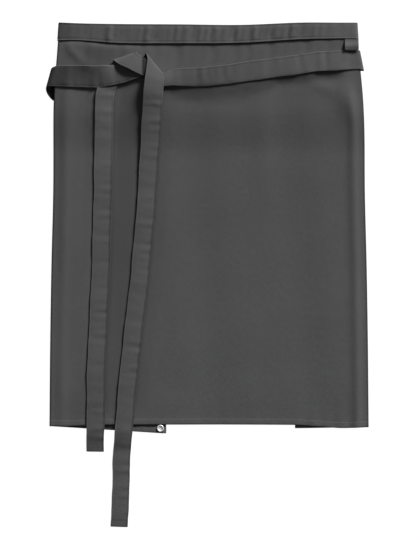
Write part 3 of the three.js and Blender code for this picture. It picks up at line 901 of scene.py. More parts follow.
@dataclass(frozen=True)
class TwillFinish:
    """Piece-dyed charcoal twill, with its diagonal rib and slubs, lighter rubbing marks and painted highlight
    on edges, and painted shade.
    """

    name: str = "charcoal_twill"
    level: float = 0.072
    rib: float = 0.0011
    rib_angle: float = 0.9
    mottle: float = 0.16
    # Among these fields are the strength and grey of the lightening (rubbing marks and painted highlight) and
    # of the painted shade.
    rub_and_highlight_strength: float = 0.5
    crumple: float = 0.2
    rib_light: float = 0.22
    painted_shade_strength: float = 0.85
    cool: float = -0.004
    deep: float = 0.5
    pale: float = 1.5
    rub_and_highlight_pale: float = 2.1
    rib_pale: float = 1.9
    painted_shade_level: float = 0.004
    fine_scale: float = 900.0
    cloud_scale: float = 22.0
    broad_scale: float = 5.0
    wrinkle_scale: float = 75.0
    wrinkle_depth: float = 0.0016
    weave_strength: float = 0.55
    weave_depth: float = 0.00022

    def build(self) -> bpy.types.Material:
        """Makes the material from the cloth's own chart in metres.

        Returns:
            The material.
        """
        board = NodeBoard(self.name)
        chart = board.node("ShaderNodeUVMap", {"uv_map": "Cloth"})
        split = board.node("ShaderNodeSeparateXYZ", None, {0: chart})
        weft = split
        warp = Value(board, split.socket.node.outputs[1])
        turn = 2 * math.pi / self.rib
        diagonal = (weft * math.cos(self.rib_angle) + warp * math.sin(self.rib_angle)) * turn
        yarn = (weft * (-math.sin(self.rib_angle)) + warp * math.cos(self.rib_angle)) * (turn * 1.7)
        rib = diagonal.sine() * 0.5 + 0.5
        thread = (yarn + diagonal * 0.5).sine() * 0.5 + 0.5
        weave = rib * 0.7 + thread * 0.3
        fine = board.noise(chart, self.fine_scale, 2.0)
        drawn = board.node("ShaderNodeMapping", None, {"Vector": chart, "Scale": (60.0, 700.0, 1.0)})
        slub = board.noise(drawn, 1.0, 2.0)
        cloud = board.noise(chart, self.cloud_scale, 4.0, 0.55)
        broad = board.noise(chart, self.broad_scale, 2.0)
        # The attribute brings painted light: above 0 lighter rubbing marks and painted highlight, below 0
        # painted shade toward a near-black grey.
        wear_and_painted_light = board.node("ShaderNodeAttribute", {"attribute_name": "wear_and_painted_light"}, None, "Fac")
        painted_shade_share = (wear_and_painted_light * -1.0).clamped()
        tone = cloud * 0.4 + broad * 0.25 + fine * 0.2 + slub * 0.15
        spread = (tone - 0.5) * (2 * self.mottle) + 0.5
        low, high = grey(self.level * self.deep, self.cool), grey(self.level * self.pale, self.cool)
        base = board.blend(spread, low, high)
        rub_and_painted_light = wear_and_painted_light.clamped() * self.rub_and_highlight_strength * (0.55 + fine * 0.9)
        color = board.blend(rub_and_painted_light, base, grey(self.level * self.rub_and_highlight_pale, self.cool))
        lit = board.blend(weave * self.rib_light, color, grey(self.level * self.rib_pale, self.cool))
        shade = board.blend(painted_shade_share * self.painted_shade_strength, lit, grey(self.painted_shade_level))
        wrinkle = board.noise(chart, self.wrinkle_scale, 3.0, 0.55)
        soft = board.bump(wrinkle, self.crumple, self.wrinkle_depth)
        woven = board.bump(weave + fine * 0.5, self.weave_strength, self.weave_depth, soft)
        rough = board.node("ShaderNodeMath", {"operation": "MULTIPLY_ADD"}, {0: fine, 1: 0.12, 2: 0.84})
        shader = board.node("ShaderNodeBsdfPrincipled", None, {
            "Base Color": shade, "Roughness": rough, "Normal": woven,
            "Sheen Weight": 0.08, "Sheen Roughness": 0.5, "Specular IOR Level": 0.25,
        })
        return board.finish(shader)


@dataclass(frozen=True)
class ThreadFinish:
    """Dyed sewing thread, a shade off the cloth."""

    name: str = "sewing_thread"
    level: float = 0.055
    ply_scale: float = 2500.0
    ply_depth: float = 0.0001

    def build(self) -> bpy.types.Material:
        """Makes the material with a twisted ply.

        Returns:
            The material.
        """
        board = NodeBoard(self.name)
        where = board.node("ShaderNodeTexCoord", None, None, "Object")
        ply = board.noise(where, self.ply_scale, 2.0)
        color = board.blend(ply, grey(self.level * 0.7), grey(self.level * 1.4))
        shader = board.node("ShaderNodeBsdfPrincipled", None, {
            "Base Color": color, "Roughness": 0.62, "Normal": board.bump(ply, 0.5, self.ply_depth),
            "Sheen Weight": 0.1,
        })
        return board.finish(shader)


@dataclass(frozen=True)
class TabFinish:
    """A dense woven tab with fine ribs, darker than the cloth and left bare."""

    name: str = "woven_tab"
    level: float = 0.03
    rib: float = 0.0007
    rib_depth: float = 0.00012
    fine_scale: float = 1200.0

    def build(self) -> bpy.types.Material:
        """Makes the material from the tab's chart in metres.

        Returns:
            The material.
        """
        board = NodeBoard(self.name)
        chart = board.node("ShaderNodeUVMap", {"uv_map": "Cloth"})
        split = board.node("ShaderNodeSeparateXYZ", None, {0: chart})
        down = Value(board, split.socket.node.outputs[1])
        turn = 2 * math.pi / self.rib
        ribs = (down * turn).sine() * 0.5 + 0.5
        cross = (split * (turn * 0.8)).sine() * 0.5 + 0.5
        weave = ribs * 0.6 + cross * 0.4
        fine = board.noise(chart, self.fine_scale, 2.0)
        color = board.blend(weave * 0.5 + fine * 0.3, grey(self.level * 0.7), grey(self.level * 1.7))
        shader = board.node("ShaderNodeBsdfPrincipled", None, {
            "Base Color": color, "Roughness": fine * 0.2 + 0.5,
            "Normal": board.bump(weave, 0.5, self.rib_depth), "Sheen Weight": 0.1,
        })
        return board.finish(shader)


@dataclass(frozen=True)
class NickelFinish:
    """Bright nickel plate with fine tool marks and a little tarnish."""

    name: str = "nickel_plate"
    level: float = 0.85
    smudge_scale: float = 420.0
    mark_depth: float = 0.00005

    def build(self) -> bpy.types.Material:
        """Makes the material on object coordinates.

        Returns:
            The material.
        """
        board = NodeBoard(self.name)
        where = board.node("ShaderNodeTexCoord", None, None, "Object")
        smudge = board.noise(where, self.smudge_scale, 3.0)
        drawn = board.node("ShaderNodeMapping", None, {"Vector": where, "Scale": (6000.0, 900.0, 900.0)})
        marks = board.noise(drawn, 1.0)
        color = board.blend(smudge, grey(self.level * 0.82, 0.01), grey(self.level, 0.004))
        shader = board.node("ShaderNodeBsdfPrincipled", None, {
            "Base Color": color, "Roughness": smudge * 0.25 + 0.3, "Metallic": 0.35,
            "Normal": board.bump(marks, 0.15, self.mark_depth),
        })
        return board.finish(shader)


@dataclass(frozen=True)
class FloorFinish:
    """A plain white floor that keeps only the faintest contact shadow."""

    name: str = "white_sweep"
    glow: float = 0.98

    def build(self) -> bpy.types.Material:
        """Makes the material.

        Returns:
            The material.
        """
        board = NodeBoard(self.name)
        paint = board.node("ShaderNodeBsdfDiffuse", None, {"Color": grey(0.12)})
        light = board.node("ShaderNodeEmission", None, {"Color": grey(1.0), "Strength": self.glow})
        return board.finish(board.node("ShaderNodeAddShader", None, {0: paint, 1: light}))


# Stitching


@dataclass(frozen=True)
class StitchRow:
    """One row of stitches along a path, its sizes in millimetres."""

    points: Array
    pitch: float = 3.1
    length: float = 2.1
    thickness: float = 0.42


class StitchTree:
    """The node group that lays stitches along a path, each a little shorter or longer than its row's."""

    shortest = 0.85
    longest = 1.12
    seed = 7

    def __init__(self, thread: bpy.types.Material) -> None:
        """Builds the group once for all rows.

        Args:
            thread: The stitches' material.
        """
        self.tree = bpy.data.node_groups.new("stitch_row", "GeometryNodeTree")
        face = self.tree.interface
        face.new_socket("Path", in_out="INPUT", socket_type="NodeSocketGeometry")
        self.pitch, self.length, self.radius = (
            face.new_socket(name, in_out="INPUT", socket_type="NodeSocketFloat").identifier
            for name in ("Pitch", "Length", "Radius")
        )
        face.new_socket("Stitches", in_out="OUTPUT", socket_type="NodeSocketGeometry")
        self._wire(thread)

    def _add(self, kind: str, settings: dict[str, object] | None = None,
             inputs: dict[str | int, object] | None = None) -> bpy.types.Node:
        """Adds a node.

        Args:
            kind: The node's type name.
            settings: Its own settings, set first.
            inputs: Values or links of its sockets, by name or number.

        Returns:
            The new node.
        """
        made = self.tree.nodes.new(kind)
        for key, value in (settings or {}).items():
            setattr(made, key, value)
        for key, value in (inputs or {}).items():
            if isinstance(value, bpy.types.NodeSocket):
                self.tree.links.new(value, made.inputs[key])
            else:
                made.inputs[key].default_value = value
        return made

    def _wire(self, thread: bpy.types.Material) -> None:
        """Joins the nodes: path, even points, one short stitch at each, all made real.

        Args:
            thread: The stitches' material.
        """
        given = self._add("NodeGroupInput").outputs
        curve = self._add("GeometryNodeMeshToCurve", None, {"Mesh": given["Path"]}).outputs["Curve"]
        spacing = {"Curve": curve, "Length": given["Pitch"]}
        even = self._add("GeometryNodeResampleCurve", {"mode": "LENGTH"}, spacing)
        tangent = self._add("GeometryNodeInputTangent").outputs["Tangent"]
        turn = self._add("FunctionNodeAlignRotationToVector", {"axis": "Z"}, {"Vector": tangent})
        ends = {2: self.shortest, 3: self.longest, "Seed": self.seed}
        wobble = self._add("FunctionNodeRandomValue", {"data_type": "FLOAT"}, ends)
        stitch = self._add("GeometryNodeMeshUVSphere", None, {"Segments": 6, "Rings": 5, "Radius": 1.0})
        half = self._add("ShaderNodeMath", {"operation": "MULTIPLY"}, {0: given["Length"], 1: 0.5})
        size = self._add("ShaderNodeCombineXYZ", None, {
            "X": given["Radius"], "Y": given["Radius"], "Z": half.outputs[0],
        })
        scaled = self._add("ShaderNodeVectorMath", {"operation": "SCALE"}, {0: size.outputs[0]})
        self.tree.links.new(wobble.outputs[1], scaled.inputs["Scale"])
        placed = self._add("GeometryNodeInstanceOnPoints", None, {
            "Points": even.outputs["Curve"], "Instance": stitch.outputs["Mesh"],
            "Rotation": turn.outputs["Rotation"], "Scale": scaled.outputs[0],
        })
        real = self._add("GeometryNodeRealizeInstances", None, {"Geometry": placed.outputs["Instances"]})
        smooth = self._add("GeometryNodeSetShadeSmooth", None, {"Geometry": real.outputs["Geometry"]})
        thread_on = {"Geometry": smooth.outputs[0], "Material": thread}
        dressed = self._add("GeometryNodeSetMaterial", None, thread_on)
        out = self._add("NodeGroupOutput")
        self.tree.links.new(dressed.outputs[0], out.inputs[0])

    def sew(self, name: str, rows: Sequence[StitchRow]) -> bpy.types.Object:
        """Lays rows of stitches and joins them in one mesh.

        Args:
            name: The piece's name.
            rows: The rows, all of one pitch and length.

        Returns:
            The finished object.
        """
        points = np.concatenate([row.points for row in rows])
        edges: list[tuple[int, int]] = []
        start = 0
        for row in rows:
            edges.extend((start + i, start + i + 1) for i in range(len(row.points) - 1))
            start += len(row.points)
        path = bpy.data.meshes.new(name + "_path")
        path.from_pydata(points.tolist(), edges, [])
        holder = add_object(name + "_path", path)
        modifier = holder.modifiers.new("stitches", "NODES")
        modifier.node_group = self.tree
        modifier[self.pitch] = rows[0].pitch * MM
        modifier[self.length] = rows[0].length * MM
        modifier[self.radius] = rows[0].thickness / 2 * MM
        bpy.context.view_layer.update()
        graph = bpy.context.evaluated_depsgraph_get()
        mesh = bpy.data.meshes.new_from_object(holder.evaluated_get(graph))
        mesh.name = name
        bpy.data.objects.remove(holder)
        return add_object(name, mesh)


# Pieces


def paint(piece: bpy.types.Object, material: bpy.types.Material) -> None:
    """Gives a piece one material."""
    piece.data.materials.clear()
    piece.data.materials.append(material)


def settle(piece: bpy.types.Object, slot: str, *nodes: str) -> None:
    """Makes a piece ride with the apron and stand for its nodes.

    Args:
        piece: The finished piece.
        slot: The name of its finish; not used.
        nodes: The solids' nodes that it stands for.
    """
    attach(piece, "root")
    if nodes:
        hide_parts(*nodes)
    LOG.info("%s: %d faces", piece.name, len(piece.data.polygons))


@dataclass
class Skirt:
    """The skirt's one piece of cloth, folded behind at both sides."""

    layout: Layout
    counts: tuple[tuple[Zone, int], ...] = (
        (Zone.LEFT_LAP, 34), (Zone.LEFT_FOLD, 8), (Zone.FRONT, 196),
        (Zone.RIGHT_FOLD, 8), (Zone.RIGHT_LAP, 24),
    )
    rows_above: tuple[tuple[float, float, int], ...] = ((0.0, 24.0, 6), (25.4, 45.0, 15), (50.0, 777.0, 112))
    hem_rows: tuple[float, ...] = (15.0, 12.6, 11.6, 11.0, 10.6, 10.2, 9.6, 8.6, 6.0, 3.0, 1.2, 0.4, 0.0)
    chart_row: int = 60
    stitch_up: float = 9.6
    stitch_sink: float = 0.12
    stitch_runs: tuple[tuple[Zone, int, int], ...] = (
        (Zone.FRONT, 230, 1), (Zone.LEFT_LAP, 90, 1), (Zone.LEFT_LAP, 90, -1), (Zone.RIGHT_LAP, 60, -1),
    )
    groove_depth: float = 0.3
    groove_width: float = 0.7
    # Colour marks: a lighter line at the hem's turned edge, painted shade at the hem's edge, under the band
    # and round the side folds, and lighter lap edges.
    hem_seam_rub: float = 0.12
    hem_edge_shade: float = 0.75
    band_shade: float = 0.6
    side_shade: float = 0.85
    lap_edge_rub: float = 0.5

    def columns(self) -> list[tuple[Zone, float]]:
        """Every column of the cloth, from the left lap's free edge to the right lap's.

        Returns:
            Each column's zone and share along it.
        """
        columns: list[tuple[Zone, float]] = []
        for number, (zone, count) in enumerate(self.counts):
            shares = np.linspace(0, 1, count + 1)[(0 if number == 0 else 1):]
            columns.extend((zone, float(share)) for share in shares)
        return columns

    def _front_only(self, shape: tuple[int, int]) -> Array:
        """1 in the front's columns and 0 in the folds' and laps'."""
        flags = np.array([zone is Zone.FRONT for zone, _ in self.columns()], float)
        return np.broadcast_to(flags, shape)

    def _column(self, zone: Zone, share: float) -> tuple[Array, Array, Array, Array]:
        """One column of the cloth, from the waist to the hem.

        Args:
            zone: The stretch of cloth.
            share: Share of the way along the stretch.

        Returns:
            Across, drop, height and wall at each row, in millimetres.
        """
        lay, s = self.layout, self.layout.sizes
        body = np.concatenate([np.linspace(*stretch) for stretch in self.rows_above])
        from_hem = np.array(self.hem_rows)
        nominal = np.concatenate([body, s.length - from_hem])
        distance = np.concatenate([np.full(len(body), FAR), from_hem])
        turned = smooth_step(0, 1, s.hem_height + 0.5 - distance)
        wall = mix(s.cloth_wall, s.hem_wall, turned)
        wall = wall - self.groove_depth * hump(distance, self.stitch_up, self.groove_width)
        across, height = lay.skirt_point(zone, np.full(len(nominal), share), nominal, wall)
        start = lay.waist_dip(across) + s.band_wall / 2 + s.band_offset
        hem = lay.hem_drop(zone, share, across)
        drop = np.where(distance < FAR, hem - distance, mix(start, hem, nominal / s.length))
        return across, drop, height, wall

    def build(self, twill: bpy.types.Material) -> bpy.types.Object:
        """Makes and dresses the skirt.

        Args:
            twill: The cloth's material.

        Returns:
            The skirt.
        """
        columns = [self._column(zone, share) for zone, share in self.columns()]
        across, drop, height, wall = (np.stack([c[k] for c in columns], axis=1) for k in range(4))
        grid = self.layout.place(across, drop, height)
        chart = chart_of(run_lengths(grid[self.chart_row])[None, :], drop * MM)
        above = len(across) - len(self.hem_rows)
        from_hem = np.concatenate([np.full(above, FAR), self.hem_rows])
        # Painted into the colour: a lighter line at the hem's turned edge, painted shade along the hem's
        # edge, under the band's seam and round the side folds; the front's outer face also gets the painted
        # shade below and beside the ties.
        wear_and_painted_light = self.hem_seam_rub * hump(from_hem, 10.9, 0.6) - self.hem_edge_shade * hump(from_hem, 0, 1.3)
        wear_and_painted_light = np.broadcast_to(wear_and_painted_light[:, None], across.shape).copy()
        below = drop - self.layout.waist_dip(across) - self.layout.band_depth(across)
        wear_and_painted_light -= self.band_shade * hump(below, 0.6, 1.6)
        aside = self.layout.half_width(drop, across) - np.abs(across)
        wear_and_painted_light -= self.side_shade * (1 - smooth_step(1.0, 3.6, aside))
        wear_and_painted_light[:, 0] = wear_and_painted_light[:, -1] = self.lap_edge_rub
        shaded = wear_and_painted_light - self.layout.painted_tie_shade(across, drop) * self._front_only(across.shape)
        outside, inside = np.clip(shaded, -1, 1), np.clip(wear_and_painted_light, -1, 1)
        piece = sheet_object("skirt_cloth", grid, wall * MM, chart, outside, inside)
        paint(piece, twill)
        settle(piece, "charcoal_twill", "skirt_panel")
        return piece

    def stitches(self) -> list[StitchRow]:
        """The hem's stitch rows: each run has a zone, a number of points and the face that it is on.

        Returns:
            The rows.
        """
        lay = self.layout
        wall = lay.sizes.hem_wall
        rows: list[StitchRow] = []
        for zone, count, face in self.stitch_runs:
            share = np.linspace(0.006, 0.994, count)
            nominal = np.full(count, lay.sizes.length - self.stitch_up)
            across, height = lay.skirt_point(zone, share, nominal, wall)
            drop = lay.hem_drop(zone, share, across) - self.stitch_up
            rows.append(StitchRow(lay.place(across, drop, height + face * (wall / 2 - self.stitch_sink))))
        return rows


@dataclass
class Waistband:
    """The folded strip over the skirt's top edge, front and back."""

    layout: Layout
    skirt: Skirt
    side_steps: int = 16
    turn_steps: int = 8
    chart_line: int = 4
    chart_column: int = 100
    chart_gap: float = 0.003
    stitch_up: float = 2.2
    stitch_sink: float = 0.14
    stitch_runs: tuple[tuple[Zone, int], ...] = ((Zone.FRONT, 260), (Zone.LEFT_LAP, 90), (Zone.RIGHT_LAP, 60))
    pucker: float = 1.45
    pucker_lift: float = 0.9
    seam_calm: float = 0.88
    seam_lift: float = 0.15
    groove_depth: float = 0.35
    groove_width: float = 0.9
    # Colour marks: a lighter line with painted highlight at the lower edge, painted shade in a line above it,
    # along the top fold and round the side folds, the band painted lighter to the right and in the middle and
    # darker at its left end, and lighter free ends.
    edge_rub_and_highlight: float = 0.9
    edge_line_shade: float = 0.45
    top_shade: float = 0.75
    right_painted_light: float = 0.5
    left_shade: float = 0.36
    middle_painted_light: float = 0.12
    end_rub: float = 0.5
    side_shade: float = 0.8

    def _ripple(self, across: Array, drop: Array) -> Array:
        """The band's puckers, above its flat height.

        Args:
            across: Millimetres from the front's middle.
            drop: Millimetres below the band's top edge.

        Returns:
            Heights in millimetres.
        """
        fade = mix(0.3, 1, smooth_step(-260, -190, across)) * (1 - 0.65 * smooth_step(190, 250, across))
        fade = self.pucker * fade
        waves = ripple(across + 0.2 * drop, BAND_WAVES)
        waves = waves * (0.75 + 0.3 * np.sin(across / 31 + drop / 8) * np.sin(across / 19 + 1))
        below = drop - self.layout.band_depth(across)
        edge = self.seam_lift * smooth_step(-12, 0, below)
        calmed = waves * (1 - self.seam_calm * smooth_step(-10, 0, below))
        return (calmed + self.pucker_lift) * fade + edge

    def _place(self, zone: Zone, share: Array | float, offset: Array, drop: Array) -> Array:
        """Middle points of the band's wall.

        Args:
            zone: The stretch of cloth.
            share: Share of the way along it.
            offset: How far outside the skirt's middle the wall lies.
            drop: Millimetres below the band's top edge.

        Returns:
            The points in metres.
        """
        s, lay = self.layout.sizes, self.layout
        below = np.maximum(0.0, drop - s.band_wall / 2 - s.band_offset)
        across, height = lay.skirt_point(zone, share, below, s.cloth_wall, smooth=True)
        dip = lay.waist_dip(lay.skirt_point(zone, share, np.zeros_like(below), s.cloth_wall, smooth=True)[0])
        way = self._way(zone, share)
        if zone is Zone.FRONT:
            offset = offset + self._ripple(across, drop) * np.minimum(1.0, drop / 8) * (offset > 0)
        return lay.place(across - way[1] * offset, dip + drop, height + way[0] * offset)

    @staticmethod
    def _way(zone: Zone, share: Array | float) -> tuple[Array | float, Array | float]:
        """The direction of the cloth's run in the section.

        Args:
            zone: The stretch of cloth.
            share: Share of the way along it.

        Returns:
            Its parts across and up.
        """
        if zone in (Zone.LEFT_LAP, Zone.RIGHT_LAP):
            return -1.0, 0.0
        if zone is Zone.FRONT:
            return 1.0, 0.0
        sign = -1 if zone is Zone.LEFT_FOLD else 1
        return sign * np.cos(math.pi * np.asarray(share)), -sign * np.sin(math.pi * np.asarray(share))

    def _profile(self, depth: float) -> list[tuple[float, float]]:
        """The band's section, from the outer lower edge over the top to the inner lower edge.

        Args:
            depth: The band's depth there.

        Returns:
            Offset and drop pairs in millimetres.
        """
        s = self.layout.sizes
        turn = s.band_wall / 2 + s.band_offset
        down = [float(v) for v in mix(turn, depth, 1 - np.linspace(0, 1, self.side_steps) ** 1.5)]
        out = [(s.band_offset, v) for v in down]
        for angle in np.linspace(0, math.pi, self.turn_steps + 1)[1:-1]:
            out.append((s.band_offset * math.cos(angle), turn - s.band_offset * math.sin(angle)))
        return out + [(-s.band_offset, v) for v in reversed(down)]

    def build(self, twill: bpy.types.Material) -> bpy.types.Object:
        """Makes and dresses the band.

        Args:
            twill: The cloth's material.

        Returns:
            The band.
        """
        s, lay = self.layout.sizes, self.layout
        grid, walls, edges, asides = [], [], [], []
        for zone, share in self.skirt.columns():
            start = float(lay.skirt_point(zone, share, 0.0, s.cloth_wall, smooth=True)[0])
            depth = float(lay.band_depth(start))
            profile = np.array(self._profile(depth))
            grid.append(self._place(zone, share, profile[:, 0], profile[:, 1]))
            edges.append(depth - profile[:, 1])
            walls.append(s.band_wall - self.groove_depth * hump(edges[-1], self.stitch_up, self.groove_width))
            asides.append(lay.half_width(profile[:, 1], start) - abs(start))
        points, up = np.array(grid), np.array(edges)
        run, deep = run_lengths(points[:, self.chart_line]), run_lengths(points[self.chart_column])
        chart = chart_of(run[:, None], deep[None, :] + self.chart_gap)
        # Painted into the colour: lighter line with painted highlight at the lower edge, painted shade line
        # above it and over the top fold, lighter to the right and in the middle, darker at the left, lighter
        # free ends, painted shade round the side folds.
        wear_and_painted_light = self.edge_rub_and_highlight * hump(up, 1.0, 1.5) - self.edge_line_shade * hump(up, 4.4, 1.2)
        wear_and_painted_light[:, self.side_steps - 1 : self.side_steps + self.turn_steps] = -self.top_shade
        place = points[:, :1, 0] / MM
        sides = self.right_painted_light * smooth_step(190, 285, place)
        sides = sides - self.left_shade * (1 - smooth_step(-296, -240, place))
        wear_and_painted_light += sides + self.middle_painted_light * hump(place, 20, 90)
        wear_and_painted_light[0] = wear_and_painted_light[-1] = self.end_rub
        wear_and_painted_light -= self.side_shade * (1 - smooth_step(0.0, 2.4, np.array(asides)))
        piece = sheet_object("waistband_cloth", points, np.array(walls) * MM, chart, np.clip(wear_and_painted_light, -1, 1))
        paint(piece, twill)
        settle(piece, "charcoal_twill", "waistband")
        return piece

    def stitches(self) -> list[StitchRow]:
        """The rows just above the band's lower edge: each run has a zone and a number of points.

        Returns:
            The rows.
        """
        s, lay = self.layout.sizes, self.layout
        rows: list[StitchRow] = []
        for zone, count in self.stitch_runs:
            share = np.linspace(0.004, 0.996, count)
            start = lay.skirt_point(zone, share, np.zeros(count), s.cloth_wall, smooth=True)[0]
            offset = np.full(count, s.band_offset + s.band_wall / 2 - self.stitch_sink)
            rows.append(StitchRow(self._place(zone, share, offset, lay.band_depth(start) - self.stitch_up)))
        return rows


@dataclass(frozen=True)
class TieRow:
    """A station of a tie, in millimetres, with the line across it.

    turn is that line's angle, span its length in tie widths, level the layers beneath, climb 0 on the
    floor and 1 on the front, tilt how much higher its far end is and arch how far its middle stands up.
    """

    across: float
    drop: float
    level: float = 0.0
    span: float = 1.02
    climb: float = 1.0
    turn: float | None = None
    square: int = 1
    tilt: float = 0.0
    arch: float = 0.0


@dataclass(frozen=True)
class TieTables:
    """The listed rows of one tie, as shares of the sizes that they follow."""

    back: tuple[tuple[float, float, float], ...]
    wrap: tuple[tuple[float, ...], ...]
    front: tuple[tuple[float, ...], ...]
    knot: tuple[tuple[float, ...], ...]
    tail: tuple[tuple[float, ...], ...]


# What the tables' columns are:
# back: run, slack, level. wrap: out, climb, drop, turn, span, tilt.
# front: run, slack, level, span, tilt, arch. knot: right, down, level, turn, span, tilt, arch.
# tail: down, aside, level, span, tilt.
RIGHT_TIE = TieTables(
    back=((0.1, -0.05, 1.0), (0.17, -0.08, 0.1), (0.34, 0.02, 0), (0.62, 0.12, 0), (0.86, 0.04, 0)),
    wrap=(
        (-2.4, 0.0, 0.0, 85, 1.02, 0.0), (0.1, 0.04, 0.2, 92, 1.03, 0.0), (0.8, 0.22, 0.35, 98, 1.1, 0.0),
        (1.0, 0.5, 0.5, 101, 1.14, 0.0), (0.8, 0.8, 0.65, 101, 1.1, 0.0), (0.1, 0.98, 0.8, 99, 1.07, 0.0),
        (-2.4, 1.0, 1.0, 96, 1.07, 0.0),
    ),
    front=(
        (0.1, -0.02, 0.15, 1.07, -0.4, 0.2), (0.2, -0.065, 0.4, 1.07, -0.9, 0.2),
        (0.28, -0.06, 0.2, 1.06, 0.7, 0.2), (0.42, -0.02, 0.4, 1.06, 1.0, 0.2),
        (0.66, 0.06, 0.2, 1.06, 4.4, 0.1), (0.87, 0.085, 0.2, 1.02, 4.6, 0.2),
    ),
    knot=(
        (3.03, 0.545, 0.8, 92, 0.99, 3.4, 0.6), (2.32, 0.56, 2.2, 89, 0.86, 0.0, 1.6),
        (1.82, 0.66, 2.9, 84, 0.7, 0.0, 1.4), (1.38, 0.5, 3.3, 74, 0.7, 0.0, 1.0),
        (0.95, 0.1, 3.6, 65, 0.88, -1.0, 0.6), (0.55, -0.14, 4.0, 63, 0.93, -3.9, 0.5),
        (0.17, -0.34, 4.4, 58, 0.95, -5.6, 0.4), (-0.03, -0.45, 4.4, 45, 1.06, -5.6, 0.3),
        (-0.15, -0.53, 4.2, 30, 1.21, -4.0, 0.4), (-0.28, -0.63, 2.7, 18.7, 1.34, 0, 0),
        (-0.33, -0.44, 0.6, 5, 1.2, 0, 0), (-0.49, -0.14, 0.1, -20, 1.02, 0, 0),
        (-0.77, 0.33, 0.0, -24, 0.98, 0, 0), (-1.1, 0.83, 0.0, -16, 0.98, 0, 0),
        (-1.31, 1.21, 0.0, -7, 0.98, -1.8, 0.3), (-1.4, 1.76, 0.1, -2, 0.98, -2.2, 0.3),
    ),
    tail=(
        (0.1, -0.007, 0.1, 0.98, -1.2), (0.31, -0.011, 0.2, 0.97, -0.4), (0.53, -0.017, 0.1, 0.97, -0.1),
        (0.75, -0.027, 0.2, 0.99, -0.3), (0.91, -0.03, 0.1, 0.98, -0.2), (1.0, -0.031, 0, 0.94, -0.2),
    ),
)
LEFT_TIE = TieTables(
    back=((0.08, -0.05, 1), (0.22, 0.0, 1), (0.46, 0.08, 1), (0.62, 0.06, 0.1), (0.84, 0.03, 0)),
    wrap=(
        (-1.1, 0.0, 0.0, -86, 1.03, 0.0), (0.02, 0.06, 0.0, -96, 1.04, 0.0),
        (0.82, 0.3, 0.456, -104, 1.05, -1.0), (1.02, 0.66, 0.853, -106, 1.04, -4.0),
        (0.45, 0.95, 0.965, -102, 1.04, -7.0), (-0.9, 1.0, 1.0, -91, 1.12, -8.4),
    ),
    front=((0.5, 0.0, 1.0, 1.17, -9.4, -0.9),),
    knot=(
        (-1.87, 0.5, 1.4, -90, 1.15, -9.4, -0.6), (-1.38, 0.45, 1.9, -86, 1.12, -7.4, 0.0),
        (-0.88, 0.41, 2.1, -78, 1.08, -2.5, 0.4), (-0.41, 0.32, 1.9, -68, 1.05, 0.5, 0.4),
        (0.06, 0.19, 1.7, -60, 1.0, 1.0, 0.2), (0.5, 0.08, 1.5, -54, 1.0, 0.5, 0.0),
        (0.88, -0.03, 1.4, -51, 1.05, 0.0, 0.0), (1.17, -0.17, 1.7, -50, 1.2, 0.0, 0.0),
        (1.32, -0.25, 4.0, -51.5, 1.42, 0.0, 0.0), (1.37, -0.08, 5.1, -44.6, 1.15, -0.6, 0.3),
        (1.37, 0.33, 5.45, -28, 1.05, -1.9, 0.7), (1.34, 0.77, 5.4, -14, 1.03, -2.6, 0.7),
        (1.31, 1.27, 4.6, -6, 1.04, -3.2, 0.4), (1.25, 1.97, 2.8, -2, 1.05, -2.9, 0.3),
    ),
    tail=(
        (0.07, -0.005, 1.8, 1.05, -2.5), (0.16, -0.011, 0.8, 1.03, -1.4), (0.26, -0.017, 0.45, 1.0, -0.8),
        (0.44, -0.033, 0.15, 1.0, -0.5), (0.62, -0.054, 0.1, 0.98, -0.5), (0.76, -0.067, 0.2, 0.97, -0.6),
        (0.8, -0.0705, 0.15, 0.96, -0.9), (0.84, -0.0735, 0.1, 0.95, -0.8), (0.9, -0.0755, 0.1, 0.94, -0.6),
        (1.0, -0.079, 0, 0.93, -0.5),
    ),
)


